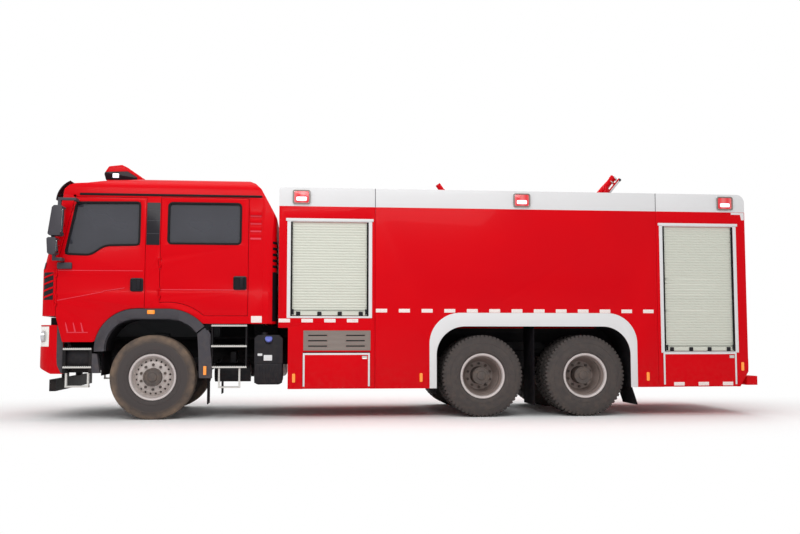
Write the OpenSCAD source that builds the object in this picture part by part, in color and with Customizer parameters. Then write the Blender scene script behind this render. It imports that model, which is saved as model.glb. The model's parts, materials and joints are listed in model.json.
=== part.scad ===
// Crew-cab fire tender on a three-axle road chassis, for airport fire service.
// Millimetres. +X forward, +Y left, +Z up, ground at Z 0, origin under the middle of the truck.
// Modules are drawn from the front axle: X 0 there, ahead of it positive.

/* [Overall] */
// Front axle to first rear axle
wheelbase = 4300; // [4100:25:4700]
// First rear axle to second rear axle
tandem = 1400; // [1350:10:1500]
// Front axle to the bumper's foremost point
front_overhang = 1500; // [1480:5:1560]
// Second rear axle to the back of the body
body_overhang = 2285; // [2200:5:2600]
// Depth of the rear step bumper behind the body
rear_step = 155; // [100:5:250]
// Width of the fire body
body_w = 2500; // [2440:10:2550]
// Top of the white roof band
roof_z = 3022; // [2950:2:3150]

/* [Wheels] */
// Tyre outside diameter
tyre_od = 1085; // [1040:5:1110]
// Tyre section width
tyre_w = 300; // [270:5:310]
// Rim bead seat diameter
rim_d = 571.5; // [560:0.5:580]
// Distance between the front tyres' centre planes
front_track = 2040; // [2000:10:2060]
// Centre plane of the outer rear tyre, from the middle
rear_outer = 1090; // [1080:2:1096]
// Twin tyres, centre to centre
twin_pitch = 345; // [335:1:350]
// Kingpin from the middle of the truck
kingpin_y = 900; // [890:2:910]

/* [Frame] */
// Width over the frame rails
frame_w = 860; // [820:10:880]
// Rail depth
rail_h = 280; // [240:10:300]
// Rail top above ground
frame_top = 1060; // [1040:5:1080]
// Rail flange width
flange = 80; // [70:5:90]
// Rail plate thickness
rail_t = 10; // [8:1:12]

/* [Cab] */
// Cab width
cab_w = 2490; // [2460:10:2500]
// Cab front face, ahead of the axle
cab_front_x = 1470; // [1455:5:1480]
// Cab rear wall, behind the axle
cab_back_x = 1570; // [1545:5:1580]
// Gutter line, where roof meets sides
gutter_z = 2890; // [2880:2:2900]
// Roof crown above the gutter
roof_rise = 270; // [250:5:290]
// Windscreen base
cowl_z = 1920; // [1900:5:1940]
// Windscreen and pillar lean, degrees
lean = 12.5; // [11:0.5:13]
// Panel thickness
skin = 55; // [50:1:58]
// Underside of the cab floor
floor_z = 1330; // [1325:1:1345]
// Gap round doors
door_gap = 6; // [5:0.5:9]
// Bottom of the fixed front panel
panel_z = 1325; // [1315:5:1340]
// Cab pivot ahead of the axle
pivot_x = 1250; // [1235:5:1260]
// Cab pivot height
pivot_z = 950; // [935:5:960]

/* [Fire body] */
// Front of the body, behind the axle
body_front_x = 1600; // [1590:5:1680]
// Length of the front locker module
front_module = 1262; // [1240:2:1300]
// Length of the rear locker module
rear_module = 1272; // [1250:2:1320]
// Lower edge of the skirts
skirt_z = 385; // [370:5:400]
// Floor of the body, on the subframe
deck_z = 1180; // [1170:5:1190]
// Height of the white roof band
band_h = 247; // [230:1:260]
// Body wall thickness
wall = 45; // [35:1:55]
// Inner face of the skirts, from the middle
skirt_in = 620; // [600:5:640]
// Wheel arch, from axle centre to the opening
arch_reach = 622; // [610:2:660]
// Top of the wheel arch opening
arch_z = 1199; // [1190:1:1230]
// White trim width at the arch legs
trim_leg = 95; // [80:5:120]
// White trim width over the arch
trim_top = 180; // [150:5:200]
// Roller shutter slat pitch
slat = 35; // [30:1:50]

/* [Hidden] */
$fn = 48;
rear1 = -wheelbase;
rear2 = -wheelbase - tandem;
mid_axles = (rear1 + rear2) / 2;
body_back = rear2 - body_overhang;
rear_end = body_back - rear_step;
front_axle_x = (front_overhang - rear_end) / 2 - front_overhang;
axle_z = tyre_od / 2;
band_z = roof_z - band_h;
cab_top = gutter_z + roof_rise;
seam1 = -body_front_x - front_module;
seam2 = body_back + rear_module;
hw = body_w / 2;
chw = cab_w / 2;
rail_out = frame_w / 2;
rail_in = rail_out - flange;
rail_z = frame_top - rail_h;
tl = tan(lean);
fit = 0.05;
eps = 0.2;
paint = "#b3121d";
black = "#1c1d1f";
steel = "#3a3c40";
white = "#e9e9e6";

function arc(cx, cy, r, a0, a1, n) =
  [for (i = [0:n]) [cx + r * cos(a0 + (a1 - a0) * i / n), cy + r * sin(a0 + (a1 - a0) * i / n)]];
function rev(v) = [for (i = [len(v) - 1:-1:0]) v[i]];

// Box between two limits on each axis
module bx(x, y, z) {
  translate([min(x), min(y), min(z)])
    cube([max(x) - min(x), max(y) - min(y), max(z) - min(z)]);
}
// Drawn in X and Z, run between two limits of Y
module across(y) {
  translate([0, max(y), 0]) rotate([90, 0, 0]) linear_extrude(max(y) - min(y)) children();
}
// Drawn in Y and Z, run between two limits of X
module along(x) {
  translate([min(x), 0, 0]) rotate([90, 0, 90]) linear_extrude(max(x) - min(x)) children();
}
module both() { children(); mirror([0, 1, 0]) children(); }
// Rectangle between limits, with corners of radius r
module rounded(x, y, r) {
  translate([min(x) + r, min(y)]) square([max(x) - min(x) - 2 * r, max(y) - min(y)]);
  translate([min(x), min(y) + r]) square([max(x) - min(x), max(y) - min(y) - 2 * r]);
  for (cx = [min(x) + r, max(x) - r]) for (cy = [min(y) + r, max(y) - r]) translate([cx, cy]) circle(r);
}
// Round bar along Y, along X
module rod_y(x, y, z, r) {
  translate([x, max(y), z]) rotate([90, 0, 0]) cylinder(r = r, h = max(y) - min(y));
}
module rod_x(x, y, z, r) {
  translate([min(x), y, z]) rotate([0, 90, 0]) cylinder(r = r, h = max(x) - min(x));
}
module rod_z(x, y, z, r) {
  translate([x, y, min(z)]) cylinder(r = r, h = max(z) - min(z));
}

// Hinge of a cab door: eye on the door, knuckles and pin on the pillar
hinge_y = chw;
module hinge_eye(x, z) {
  difference() {
    union() {
      rod_z(x, hinge_y, [z - 30, z + 30], 14);
      bx([x - 45, x - 3], [hinge_y - skin + 1, hinge_y - 2], [z - 30, z + 30]);
    }
    rod_z(x, hinge_y, [z - 31, z + 31], 8 + fit);
  }
}
module hinge_pin(x, z) {
  rod_z(x, hinge_y, [z - 70, z + 70], 8);
  for (d = [-70, 34]) {
    rod_z(x, hinge_y, [z + d, z + d + 36], 14);
    bx([x + 3, x + 45], [hinge_y - skin + 1, hinge_y - 2], [z + d, z + d + 36]);
  }
}
module hinge_room(x, z, from, to) { rod_z(x, hinge_y, [z + from, z + to], 20); }

// Chassis

bridge_x = [-1370, -1255];
lug_x = pivot_x + 115;
lug_z = [430, 475];
module frame() {
  color(steel) {
    both() {
      difference() {
        bx([body_back + 30, pivot_x + 60], [rail_in, rail_out], [rail_z, frame_top]);
        bx([body_back, pivot_x + 80], [rail_in - 1, rail_out - rail_t],
            [rail_z + rail_t, frame_top - rail_t]);
      }
      bx([body_back + 30, -body_front_x], [rail_in, rail_out], [frame_top, deck_z]);
      // cab pivot pin and its boss
      rod_y(pivot_x, [rail_in, rail_out + 70], pivot_z, 25);
      rod_y(pivot_x, [rail_in, rail_out + 4], pivot_z, 48);
      // bumper arm and underrun hanger
      intersection() {
        bx([pivot_x + 59, front_overhang], [rail_in, rail_out], [rail_z + 30, rail_z + 130]);
        linear_extrude(frame_top) bumper_plan(pivot_x, bumper_t + eps);
      }
      bx([pivot_x - 20, pivot_x + 60], [rail_in, rail_out], [430, rail_z + 5]);
      // tow lug
      difference() {
        union() {
          bx([pivot_x + 50, lug_x], [rail_in, rail_out], lug_z);
          rod_z(lug_x, (rail_in + rail_out) / 2, lug_z, 40);
        }
        rod_z(lug_x, (rail_in + rail_out) / 2, [lug_z[0] - 10, lug_z[1] + 10], 22);
      }
      // rear step hanger
      bx([body_back + 30, body_back + 110], [rail_in, rail_out], [420, rail_z + 5]);
      bx([body_back, body_back + 31], [rail_in, rail_out], [420, 520]);
    }
    // underrun beam below the bumper
    bx([pivot_x - 20, pivot_x + 60], [-1040, 1040], [365, 515]);
    // crossmembers
    for (x = [pivot_x - 120, -2150, -3000, rear1 + 560, mid_axles, rear2 - 700, body_back + 30])
      bx([x, x + 90], [-rail_out + 2, rail_out - 2], [frame_top - 160, frame_top - rail_t / 2]);
    // bridge behind the gearbox, under the back of the cab
    bx(bridge_x, [-560, 560], [floor_z - 190, floor_z - 80]);
    both() bx(bridge_x, [rail_in, rail_out], [frame_top, floor_z - 189]);
    // tow coupling at the rear crossmember
    difference() {
      bx([rear_end + 20, body_back + 40], [-70, 70], [frame_top - 160, frame_top - 115]);
      rod_z(rear_end + 75, 0, [frame_top - 200, frame_top - 60], 22);
    }
  }
}

// Bumper in plan, inset by i, from the X of its open back
bumper_t = 60;
module bumper_plan(back, i) {
  intersection() {
    translate([front_overhang - 8000, 0]) circle(8000 - i, $fn = 720);
    translate([back, -1175 + i]) square([front_overhang - back, 2350 - 2 * i]);
    union() {
      translate([back, -1175 + i]) square([front_overhang - 290 - back, 2350 - 2 * i]);
      translate([back, -925]) square([front_overhang - back, 1850]);
      for (s = [-1, 1]) translate([front_overhang - 290, s * 925]) circle(250 - i);
    }
  }
}
lamp_z = [935, 1195];
module headlamp_room(i) {
  both() bx([pivot_x + 50, front_overhang], [840 + i, 1180], [lamp_z[0] + i, lamp_z[1] - i]);
}
module bumpers() {
  color(paint) {
    difference() {
      intersection() {
        translate([0, 0, 591]) linear_extrude(621) bumper_plan(1120, 0);
        across([-1300, 1300]) polygon([[1100, 591], [1270, 591], [1420, 660], [front_overhang, 760],
          [front_overhang, 1180], [front_overhang - 25, 1212], [1100, 1212]]);
      }
      translate([0, 0, 580]) linear_extrude(650) bumper_plan(1100, bumper_t);
      headlamp_room(0);
    }
    // rear step bumper
    bx([rear_end, body_back], [-1190, 1190], [402, 525]);
  }
}
module lamps() {
  color("#d8d8d0") {
    // headlamps
    intersection() {
      translate([0, 0, 600]) linear_extrude(700) difference() {
        bumper_plan(1120, 4);
        bumper_plan(1100, bumper_t);
      }
      headlamp_room(eps);
    }
    both() {
      // scene lamps in the roof band
      for (x = [-body_front_x - 290, mid_axles + 160, body_back + 290])
        across([hw, hw + 22]) rounded([x - 117, x + 117], [band_z + 25, roof_z - 32], 28);
      // side markers, upright
      for (m = [[-body_front_x - 205, 470], [rear1 + 830, 470], [rear2 - 860, 470], [body_back + 85, 600]])
        across([hw, hw + 16]) rounded([m[0] - 20, m[0] + 20], [m[1], m[1] + 115], 12);
      // tail lamps
      bx([body_back - 40, body_back], [850, 1180], [620, 760]);
    }
  }
}

seat_z = rail_z - 40;
module axles() {
  color(steel) {
    // steered beam
    difference() {
      union() {
        bx([-55, 55], [-620, 620], [axle_z - 170, axle_z - 40]);
        both() across_beam();
        both() rod_z(0, kingpin_y, [axle_z - 70, axle_z + 70], 58);
      }
      for (x = [-60, 25]) bx([x, x + 35], [-560, 560], [axle_z - 145, axle_z - 65]);
    }
    both() rod_z(0, kingpin_y, [axle_z - 140, axle_z + 140], 25);
    for (x = [rear1, rear2]) {
      rod_y(x, [-760, 760], axle_z, 85);
      rod_y(x, [-1085, 1085], axle_z, 60);
      rod_x([x - 200, x + 235], 0, axle_z, 205);
      rod_x([x + 200, x + 330], 0, axle_z, 90);
      both() bx([x - 70, x + 70], [rail_out + 35, rail_out + 145], [axle_z + 20, seat_z]);
    }
    // walking-beam trunnion
    rod_y(mid_axles, [-rail_out - 150, rail_out + 150], rail_z - 100, 62);
    both() bx([mid_axles - 130, mid_axles + 130], [rail_in, rail_out], [rail_z - 180, rail_z]);
  }
}
module across_beam() {
  along([-55, 55]) polygon([[600, axle_z - 170], [kingpin_y - 60, axle_z - 60], [kingpin_y, axle_z - 60],
    [kingpin_y, axle_z + 60], [kingpin_y - 90, axle_z + 60], [600, axle_z - 40]]);
}

// Leaf pack seen from the side: sagging main leaf of half length l, n leaves of thickness t in steps,
// flat where it is clamped
function leaf_half(l, n, k) = l * (1 - k * 0.8 / n);
function leaf_side(l, r, t, n) = concat(
  [for (i = [0:n - 1]) for (k = i == n - 1 ? [i] : [i, i + 1])
    let (a = asin(leaf_half(l, n, k) / r)) [(r + (i + 1) * t) * sin(a), r - (r + (i + 1) * t) * cos(a)]],
  [[leaf_half(l, n, n), -n * t]]);
module leaves(l, rise, t, n) {
  r = (l * l + rise * rise) / (2 * rise);
  a = asin(l / r);
  side = leaf_side(l, r, t, n);
  polygon(concat(arc(0, r, r, 270 - a, 270 + a, 8), side, [for (p = rev(side)) [-p[0], p[1]]]));
}
module springs() {
  color(black) {
    both() {
      // front packs on the beam, hangers under the rails
      across([rail_out - 85, rail_out - 5]) translate([0, axle_z - 40 + 4 * 27]) leaves(760, 130, 27, 4);
      for (x = [-760, 760])
        across([rail_out - 80, rail_out - 10])
          polygon([[x - 70, rail_z], [x + 70, rail_z], [x + 35, axle_z + 170], [x - 35, axle_z + 170]]);
    }
    both() {
      // rear packs over the trunnion, ends on the axle seats
      across([rail_out + 45, rail_out + 135]) translate([mid_axles, rail_z + 65]) mirror([0, 1])
        leaves(tandem / 2 + 60, 90, 29, 5);
      for (x = [rear1, rear2]) bx([x - 55, x + 55], [rail_out + 50, rail_out + 130], [seat_z, seat_z + 42]);
      difference() {
        bx([mid_axles - 110, mid_axles + 110], [rail_out + 40, rail_out + 140],
            [rail_z - 100, rail_z + 80]);
        rod_y(mid_axles, [rail_out, rail_out + 160], rail_z - 100, 62);
      }
    }
  }
}
module powertrain() {
  color("#55585c") {
    bx([-780, 740], [-320, 320], [640, 1500]);
    bx([739, 830], [-250, 250], [680, 1200]);
    bx([829, 960], [-345, 345], [600, 1285]);
    // gearbox and its housing, with the air cleaner across the rails
    bx([-1850, -779], [-220, 220], [680, frame_top + 60]);
    bx([bridge_x[1] + 5, -779], [-220, 220], [680, floor_z - 90]);
    bx([-body_front_x + 15, bridge_x[0] - 2], [-600, 600], [frame_top, floor_z - 110]);
    both() bx([-100, 100], [319, rail_out - 20], [frame_top, frame_top + 45]);
    shaft(-1840, 860, rear1 + 345, axle_z);
    rod_x([rear1 + 330, rear1 + 355], 0, axle_z, 75);
    shaft(rear1 - 200, axle_z, rear2 + 330, axle_z);
  }
}
// Propeller shaft between two points of the middle plane
module shaft(xa, za, xb, zb) {
  translate([xa, 0, za]) rotate([0, atan2(xb - xa, zb - za), 0]) cylinder(r = 52, h = norm([xb - xa,
      zb - za]));
}
// Additive tank left, fuel tank right, air vessels inboard
tank_x = [-1660, -1295];
tank_y = [720, 1190];
tank_top = 1085;
tank_r = 60;
module tank_side(z, x) {
  polygon(concat(arc(x[0] + tank_r, z + tank_r, tank_r, 180, 270, 6),
    arc(x[1] - tank_r, z + tank_r, tank_r, 270, 360, 6),
    [[x[1], tank_top - 40], [x[1] - 45, tank_top], [x[0] + 50, tank_top], [x[0], tank_top - 45]]));
}
module tanks() {
  color(black) {
    across(tank_y) tank_side(443, tank_x);
    rod_z(-1420, 1080, [tank_top - 1, tank_top + 35], 45);
    bx([-1560, -1400], [rail_out, tank_y[0] + 1], [700, 900]);
  }
  color("#a8abad") {
    across(-tank_y) tank_side(470, [tank_x[0] - 30, tank_x[1] + 30]);
    bx([-1560, -1400], [-rail_out, -tank_y[0] - 1], [700, 900]);
    rod_z(-1340, -1100, [tank_top - 1, tank_top + 40], 45);
  }
  color(black) both() {
    rod_x([-1230, -760], 760, 590, 125);
    bx([-1030, -960], [rail_out, 770], [620, 860]);
  }
}

module steps() {
  color(black) both() {
    // front entry: box with two treads and a hanging stirrup
    difference() {
      bx([752, 1112], [930, 1215], [600, 925]);
      bx([790, 1075], [975, 1230], [700, 890]);
      bx([790, 1075], [975, 1230], [590, 655]);
    }
    for (x = [785, 1057]) bx([x, x + 22], [1150, 1200], [440, 601]);
    bx([785, 1079], [1130, 1210], [420, 442]);
    bx([850, 950], [rail_out, 931], [820, 900]);
    // rear entry: three treads between side plates and a stirrup
    for (x = [-1200, -762]) bx([x, x + 20], [1010, 1200], [640, 1205]);
    for (z = [1190, 925, 655]) bx([-1200, -742], [1000, 1215], [z, z + 28]);
    for (x = [-1117, -857]) bx([x, x + 22], [1150, 1195], [420, 656]);
    bx([-1117, -835], [1130, 1205], [402, 422]);
    bx([-1000, -900], [rail_out, 1001], [926, 952]);
  }
  // ladder on the back of the body, up to the roof
  color("#b9bcbf") {
    for (y = [-1080, -680]) {
      rod_z(body_back - 75, y, [900, roof_z + 60], 19);
      for (z = [1000, roof_z / 2 + 439, roof_z - 122]) bx([body_back - 75, body_back],
          [y - 12, y + 12], [z, z + 24]);
    }
    for (z = [960:290:roof_z - 32]) rod_y(body_back - 75, [-1080, -680], z, 15);
  }
}

// Black flare over the front wheel, grown by g
function flare(g, n) = concat(arc(200, 900, 520 + g, -3, 90, n), arc(-190, 820, 600 + g, 90, 141, n));
module mudguards() {
  color(black) both() {
    // lower rear guard of the front wheel, with its flap
    across([930, 1225]) polygon([[-625, 1120], [-700, 1150], [-735, 1090], [-735, 532], [-640, 532],
        [-625, 700]]);
    bx([-712, -700], [930, 1215], [195, 533]);
    bx([-735, -680], [rail_out, 931], [960, 1040]);
    // lower front guard, behind the entry step
    across([1120, 1215]) polygon([[752, 600], [752, 850], [690, 850], [650, 600]]);
    // twin-wheel liners and flaps
    bx([mid_axles - 6, mid_axles + 6], [650, 1215], [150, arch_z]);
    across([650, 1215]) polygon([[rear2 - arch_reach - 15, skirt_z], [rear2 - arch_reach - 30, skirt_z],
      [rear2 - arch_reach - 105, 150], [rear2 - arch_reach - 92, 145]]);
    across([650, 1215]) polygon([[rear1 + arch_reach + 30, skirt_z], [rear1 + arch_reach + 15, skirt_z],
      [rear1 + arch_reach - 10, 300], [rear1 + arch_reach + 4, 296]]);
  }
}

// Fire body

shut_f = [-body_front_x - 154, -body_front_x - 1176];
shut_fz = [deck_z + 150, band_z - 205];
shut_r = [body_back + 1184, body_back + 179];
shut_rz = [861, band_z - 205];
shut_w = 560;
shut_bz = [deck_z + 70, band_z - 275];
flap_f = [-body_front_x - 322, -body_front_x - 1195];
flap_r = [body_back + 1201, body_back + 165];
flap_top = 850;
flap_t = 28;
flap_y = hw - flap_t / 2;
flap_axis_z = skirt_z + flap_t / 2 + 2;
vent_z = [883, 1143];
skirt_x = -body_front_x - 127;

// Locker behind a flap: a pocket open outward, the lower edge left open for the hinge bar
module flap_room(x) {
  both() {
    bx([x[0] - 30, x[1] + 30], [skirt_in + wall, hw - 60], [skirt_z + 30, flap_top - 20]);
    bx([x[0] + 5, x[1] - 5], [flap_y - flap_t / 2 - 7, hw + 1], [skirt_z - 1, flap_top + 5]);
    bx([x[0] - 30, x[1] + 30], [hw - 61, hw], [skirt_z + 30, flap_top - 20]);
  }
}
module flap_pins(x) {
  both() {
    rod_x([x[0] - 30, x[0] + 12], flap_y, flap_axis_z, 7);
    rod_x([x[1] - 12, x[1] + 30], flap_y, flap_axis_z, 7);
  }
}
module shutter_room(x, z) { both() bx(x, [hw - wall - 1, hw + 1], z); }

module body_front() {
  color(paint) {
    difference() {
      union() {
        bx([-body_front_x, seam1 + 2], [-hw, hw], [deck_z, band_z]);
        both() bx([skirt_x, seam1 + 2], [skirt_in, hw], [skirt_z, deck_z + 1]);
      }
      bx([-body_front_x - wall, seam1 + wall], [-hw + wall, hw - wall], [deck_z + wall, band_z - wall]);
      shutter_room(shut_f, shut_fz);
      flap_room(flap_f);
    }
    flap_pins(flap_f);
  }
}
module arch_cut(grow, top, r) {
  x0 = rear1 + arch_reach + grow;
  x1 = rear2 - arch_reach - grow;
  translate([x1, 0]) square([x0 - x1, top - r]);
  translate([x1 + r, 0]) square([x0 - x1 - 2 * r, top]);
  for (x = [x0 - r, x1 + r]) translate([x, top - r]) circle(r);
}
module body_tank() {
  color(paint) difference() {
    union() {
      bx([seam1 - 2, seam2 + 2], [-hw, hw], [arch_z, band_z]);
      both() bx([seam1 - 2, seam2 + 2], [skirt_in, hw], [skirt_z, arch_z + 1]);
      both() bx([seam1 - 2, seam2 + 2], [rail_in, rail_out], [deck_z, arch_z + 1]);
    }
    both() across([skirt_in - 10, hw + 10]) arch_cut(0, arch_z, 380);
  }
}
module body_rear() {
  color(paint) {
    difference() {
      union() {
        bx([seam2 - 2, body_back], [-hw, hw], [deck_z, band_z]);
        both() across([skirt_in, hw]) polygon([[seam2 - 2, skirt_z], [seam2 - 2, deck_z + 1],
            [body_back, deck_z + 1],
          [body_back, 590], [body_back + 120, skirt_z]]);
      }
      bx([seam2 - wall, body_back + wall], [-hw + wall, hw - wall], [deck_z + wall, band_z - wall]);
      both() bx([shut_r[0] + 20, shut_r[1] - 20], [skirt_in + wall, hw - wall],
          [shut_rz[0], deck_z + wall + 1]);
      shutter_room(shut_r, shut_rz);
      bx([body_back - 1, body_back + wall + 1], [-shut_w, shut_w], shut_bz);
      flap_room(flap_r);
    }
    flap_pins(flap_r);
  }
}
module roof_parapet() {
  color(white) difference() {
    intersection() {
      bx([-body_front_x, body_back], [-hw, hw], [band_z, roof_z]);
      across([-hw - 1, hw + 1]) polygon(concat([[-body_front_x, band_z]], arc(-body_front_x - 30,
          roof_z - 30, 30, 0, 90, 6),
        arc(body_back + 110, roof_z - 110, 110, 90, 180, 10), [[body_back, band_z]]));
    }
    bx([-body_front_x - 60, body_back + 60], [-hw + 60, hw - 60], [band_z + 15, roof_z + 1]);
    bx([-body_front_x - 90, body_back + 90], [-hw + 90, hw - 90], [band_z - 1, band_z + 20]);
    for (x = [seam1, seam2]) both() bx([x - 3, x + 3], [hw - 4, hw + 1], [band_z - 1, roof_z + 1]);
  }
}
man_x = -3560;
man_r = 300;
man_z = band_z + 150;
man_axis_x = man_x + man_r + 55;
gun_x = rear2 - 630;
gun_rise = 405;
gun_z = band_z + gun_rise;
vent_x = rear1 + 390;
module roof_deck() {
  color("#a9adb0") difference() {
    union() {
      bx([-body_front_x - 60, body_back + 60], [-hw + 60, hw - 60], [band_z + 15, band_z + 27]);
      bx([-body_front_x - 90, body_back + 90], [-hw + 90, hw - 90], [band_z, band_z + 16]);
      rod_z(man_x, 0, [band_z + 10, man_z], man_r);
      // hinge post of the tank lid
      bx([man_axis_x - 40, man_axis_x + 22], [-30, 30], [band_z + 20, man_z - 20]);
      rod_y(man_axis_x, [-30, 30], man_z + 15, 22);
      bx([man_axis_x - 22, man_axis_x + 22], [-30, 30], [man_z - 30, man_z + 15]);
    }
    rod_z(man_x, 0, [band_z + 60, man_z + 1], man_r - 40);
  }
  color(paint) {
    // monitor riser
    rod_z(gun_x, 0, [band_z + 26, gun_z - 150], 62);
    rod_z(gun_x, 0, [band_z + 26, band_z + 48], 130);
    rod_z(gun_x, 0, [gun_z - 151, gun_z - 120], 40);
    // tank vent with a swept neck
    translate([vent_x, 300, band_z + 26]) cylinder(r = 38, h = 380);
    translate([vent_x, 300, band_z + 380]) rotate([0, 35, 0]) cylinder(r = 38, h = 120);
  }
}
// Slatted curtain of an opening between two heights: each slat crowned, a groove under it
module shutter_profile(y, z) {
  n = floor((z[1] - z[0]) / slat);
  low = z[0] + eps;
  high = z[1] - eps;
  polygon(concat([[y - 20, low], [y - 20, high], [y, high]],
    [for (i = [n - 1:-1:0]) for (k = [[0.9, 0], [0.5, 3], [0.1, 0], [0.02, -4]])
      [y + k[1], low + (high - low) * (i + k[0]) / n]]));
}
module shutters() {
  color("#c9cdc8") {
    both() for (s = [[shut_f, shut_fz], [shut_r, shut_rz]]) {
      along([s[0][0] - eps, s[0][1] + eps]) shutter_profile(hw - 22, s[1]);
      bx([s[0][0] - 20, s[0][1] + 20], [hw - 23, hw + 4], [s[1][0] + 12, s[1][0] + 66]);
    }
    translate([body_back + hw, 0, 0]) rotate([0, 0, 90])
      along([-shut_w + eps, shut_w - eps]) shutter_profile(hw - 22, shut_bz);
  }
}
module ring(x, z, w, wt) {
  difference() {
    translate([min(x) - w, min(z) - wt[0]]) square([max(x) - min(x) + 2 * w,
        max(z) - min(z) + wt[0] + wt[1]]);
    translate([min(x), min(z)]) square([max(x) - min(x), max(z) - min(z)]);
  }
}
module body_trims() {
  color(white) {
    both() {
      across([hw, hw + 8]) { ring(shut_f, shut_fz, 46, [24, 28]); }
      across([hw, hw + 8]) { ring(shut_r, shut_rz, 46, [14, 40]); }
      // arch trim
      across([hw, hw + 8]) difference() {
        arch_cut(trim_leg, arch_z + trim_top, 410);
        arch_cut(0, arch_z, 380);
        translate([rear2 - 1200, -1]) square([tandem + 2400, skirt_z + 1]);
      }
    }
  }
  // louvred intake plate
  color("#b4b7b8") both() difference() {
    bx([flap_f[0] - 4, flap_f[1] - 8], [hw, hw + 6], vent_z);
    for (x = [flap_f[0] - 60, flap_f[1] + 320]) for (i = [0:2])
      bx([x, x - 260], [hw - 1, hw + 7], [vent_z[0] + 40 + i * 70, vent_z[0] + 75 + i * 70]);
  }
}

// Monitor, tank lid and flaps

module monitor_turret() {
  color(paint) {
    difference() {
      union() {
        rod_z(gun_x, 0, [gun_z - 149.7, gun_z - 98], 78);
        both() bx([gun_x - 45, gun_x + 45], [62, 82], [gun_z - 130, gun_z]);
        both() rod_y(gun_x, [62, 82], gun_z, 45);
        bx([gun_x - 60, gun_x + 60], [-82, 82], [gun_z - 120, gun_z - 98]);
        // elevating gear beside the cheek
        rod_z(gun_x - 70, 125, [gun_z - 120, gun_z + 120], 34);
        bx([gun_x - 90, gun_x - 25], [81, 128], [gun_z - 120, gun_z - 98]);
      }
      rod_z(gun_x, 0, [gun_z - 160, gun_z - 119], 40 + fit);
      rod_y(gun_x, [-90, 90], gun_z, 20 + fit);
    }
  }
}
gun_el = 50;
tube_drop = 86;
// Barrel on its trunnions, with a slim foam tube clamped under it
module monitor_barrel() {
  color(paint) {
    rod_y(gun_x, [-95, 95], gun_z, 20);
    translate([gun_x, 0, gun_z]) rotate([0, -90 + gun_el, 0]) {
      translate([0, 0, -45]) cylinder(r = 54, h = 165);
      translate([0, 0, 119]) cylinder(r1 = 54, r2 = 42, h = 150);
      translate([0, 0, 268]) cylinder(r1 = 42, r2 = 54, h = 92);
      translate([-tube_drop, 0, 130]) cylinder(r = 19, h = 270);
      for (z = [150, 280]) translate([-tube_drop, -14, z]) cube([60, 28, 24]);
    }
  }
}
module tank_lid() {
  color(paint) {
    rod_z(man_x, 0, [man_z + 0.3, man_z + 26], man_r + 12);
    both() bx([man_x + man_r - 60, man_axis_x], [36, 58], [man_z + 1, man_z + 37]);
    both() rod_y(man_axis_x, [36, 58], man_z + 15, 22);
    for (y = [-1, 1]) rod_y(man_axis_x, [y * 36, y * 30.3], man_z + 15, 10);
    // pull handle
    both() bx([man_x - 260, man_x - 240], [60, 80], [man_z + 20, man_z + 70]);
    bx([man_x - 260, man_x - 240], [-80, 80], [man_z + 65, man_z + 85]);
  }
}
module flap(x) {
  difference() {
    union() {
      rod_x(x, flap_y, flap_axis_z, flap_t / 2);
      bx(x, [flap_y - flap_t / 2, flap_y + flap_t / 2], [flap_axis_z, flap_top]);
    }
    rod_x([x[0] - 36, x[0] + 1], flap_y, flap_axis_z, 7 + fit);
    rod_x([x[1] - 1, x[1] + 36], flap_y, flap_axis_z, 7 + fit);
  }
}
module flap_front_left() { color(paint) flap(flap_f); }
module flap_rear_left() { color(paint) flap(flap_r); }
module flap_front_right() { color(paint) mirror([0, 1, 0]) flap(flap_f); }
module flap_rear_right() { color(paint) mirror([0, 1, 0]) flap(flap_r); }

// Cab

// Left half of the cab's cross-section, inset by i: sculpted side, drip line, crowned roof
function half_section(i) = concat(
  [[chw - i, 850], [chw - i, 1640], [chw - 13 - i, 1662], [chw - i, 1840], [chw - 9 - i, 2240],
    [chw - 55 - i, gutter_z - 30], [chw - 60 - i, gutter_z + 20]],
  arc(chw - 235, gutter_z + 65, 172 - i, 0, 82, 9),
  [[600, cab_top - 22 - i], [300, cab_top - 5 - i]]);
module cab_section(i) {
  h = half_section(i);
  polygon(concat(h, [for (p = rev(h)) [-p[0], p[1]]]));
}
// Roof and rear wall seen from the side, inset by i: upright wall, sloped shoulder, falling brow
wall_top = 2620;
module cab_profile(i) {
  back = -cab_back_x;
  shoulder = [[back + 205 + i, cab_top - 156], [back + 284 + i * 0.6, cab_top - 77 - i * 0.7],
    [back + 363 + i * 0.4, cab_top - 38 - i * 0.9], [back + 480, cab_top - 12 - i]];
  brow = [[0, cab_top - 5 - i], [363, cab_top - 48 - i], [679, cab_top - 73 - i], [866, cab_top - 102 - i],
    [1018 - i * 0.3, cab_top - 112 - i], [1091 - i * 0.7, cab_top - 137 - i * 0.8],
    [1150 - i, cab_top - 195 - i * 0.5], [1185 - i, cab_top - 240 - i * 0.2], [1205 - i, cab_top - 275]];
  polygon(concat([[2000, 850], [back + i, 850], [back + i, wall_top]], shoulder,
    [[-700, cab_top - i]], brow, [[2000, cab_top - 290]]));
}
module cab_plan(i) {
  r = 220;
  b = 130;
  x0 = -cab_back_x + i;
  x1 = cab_front_x - 25;
  intersection() {
    translate([cab_front_x - 8000, 0]) circle(8000 - i, $fn = 720);
    union() {
      translate([x0 + b, -chw + i]) square([x1 - r - x0 - b, 2 * (chw - i)]);
      translate([x0, -chw + b]) square([x1 - x0 + 60, 2 * (chw - b)]);
      for (s = [-1, 1]) translate([x1 - r, s * (chw - r)]) circle(r - i);
      translate([x1 - r - 1, -chw + r]) square([r + 60, 2 * (chw - r)]);
      for (s = [-1, 1]) translate([x0 + b, s * (chw - b)]) circle(max(b - i, 30));
    }
  }
}
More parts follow.
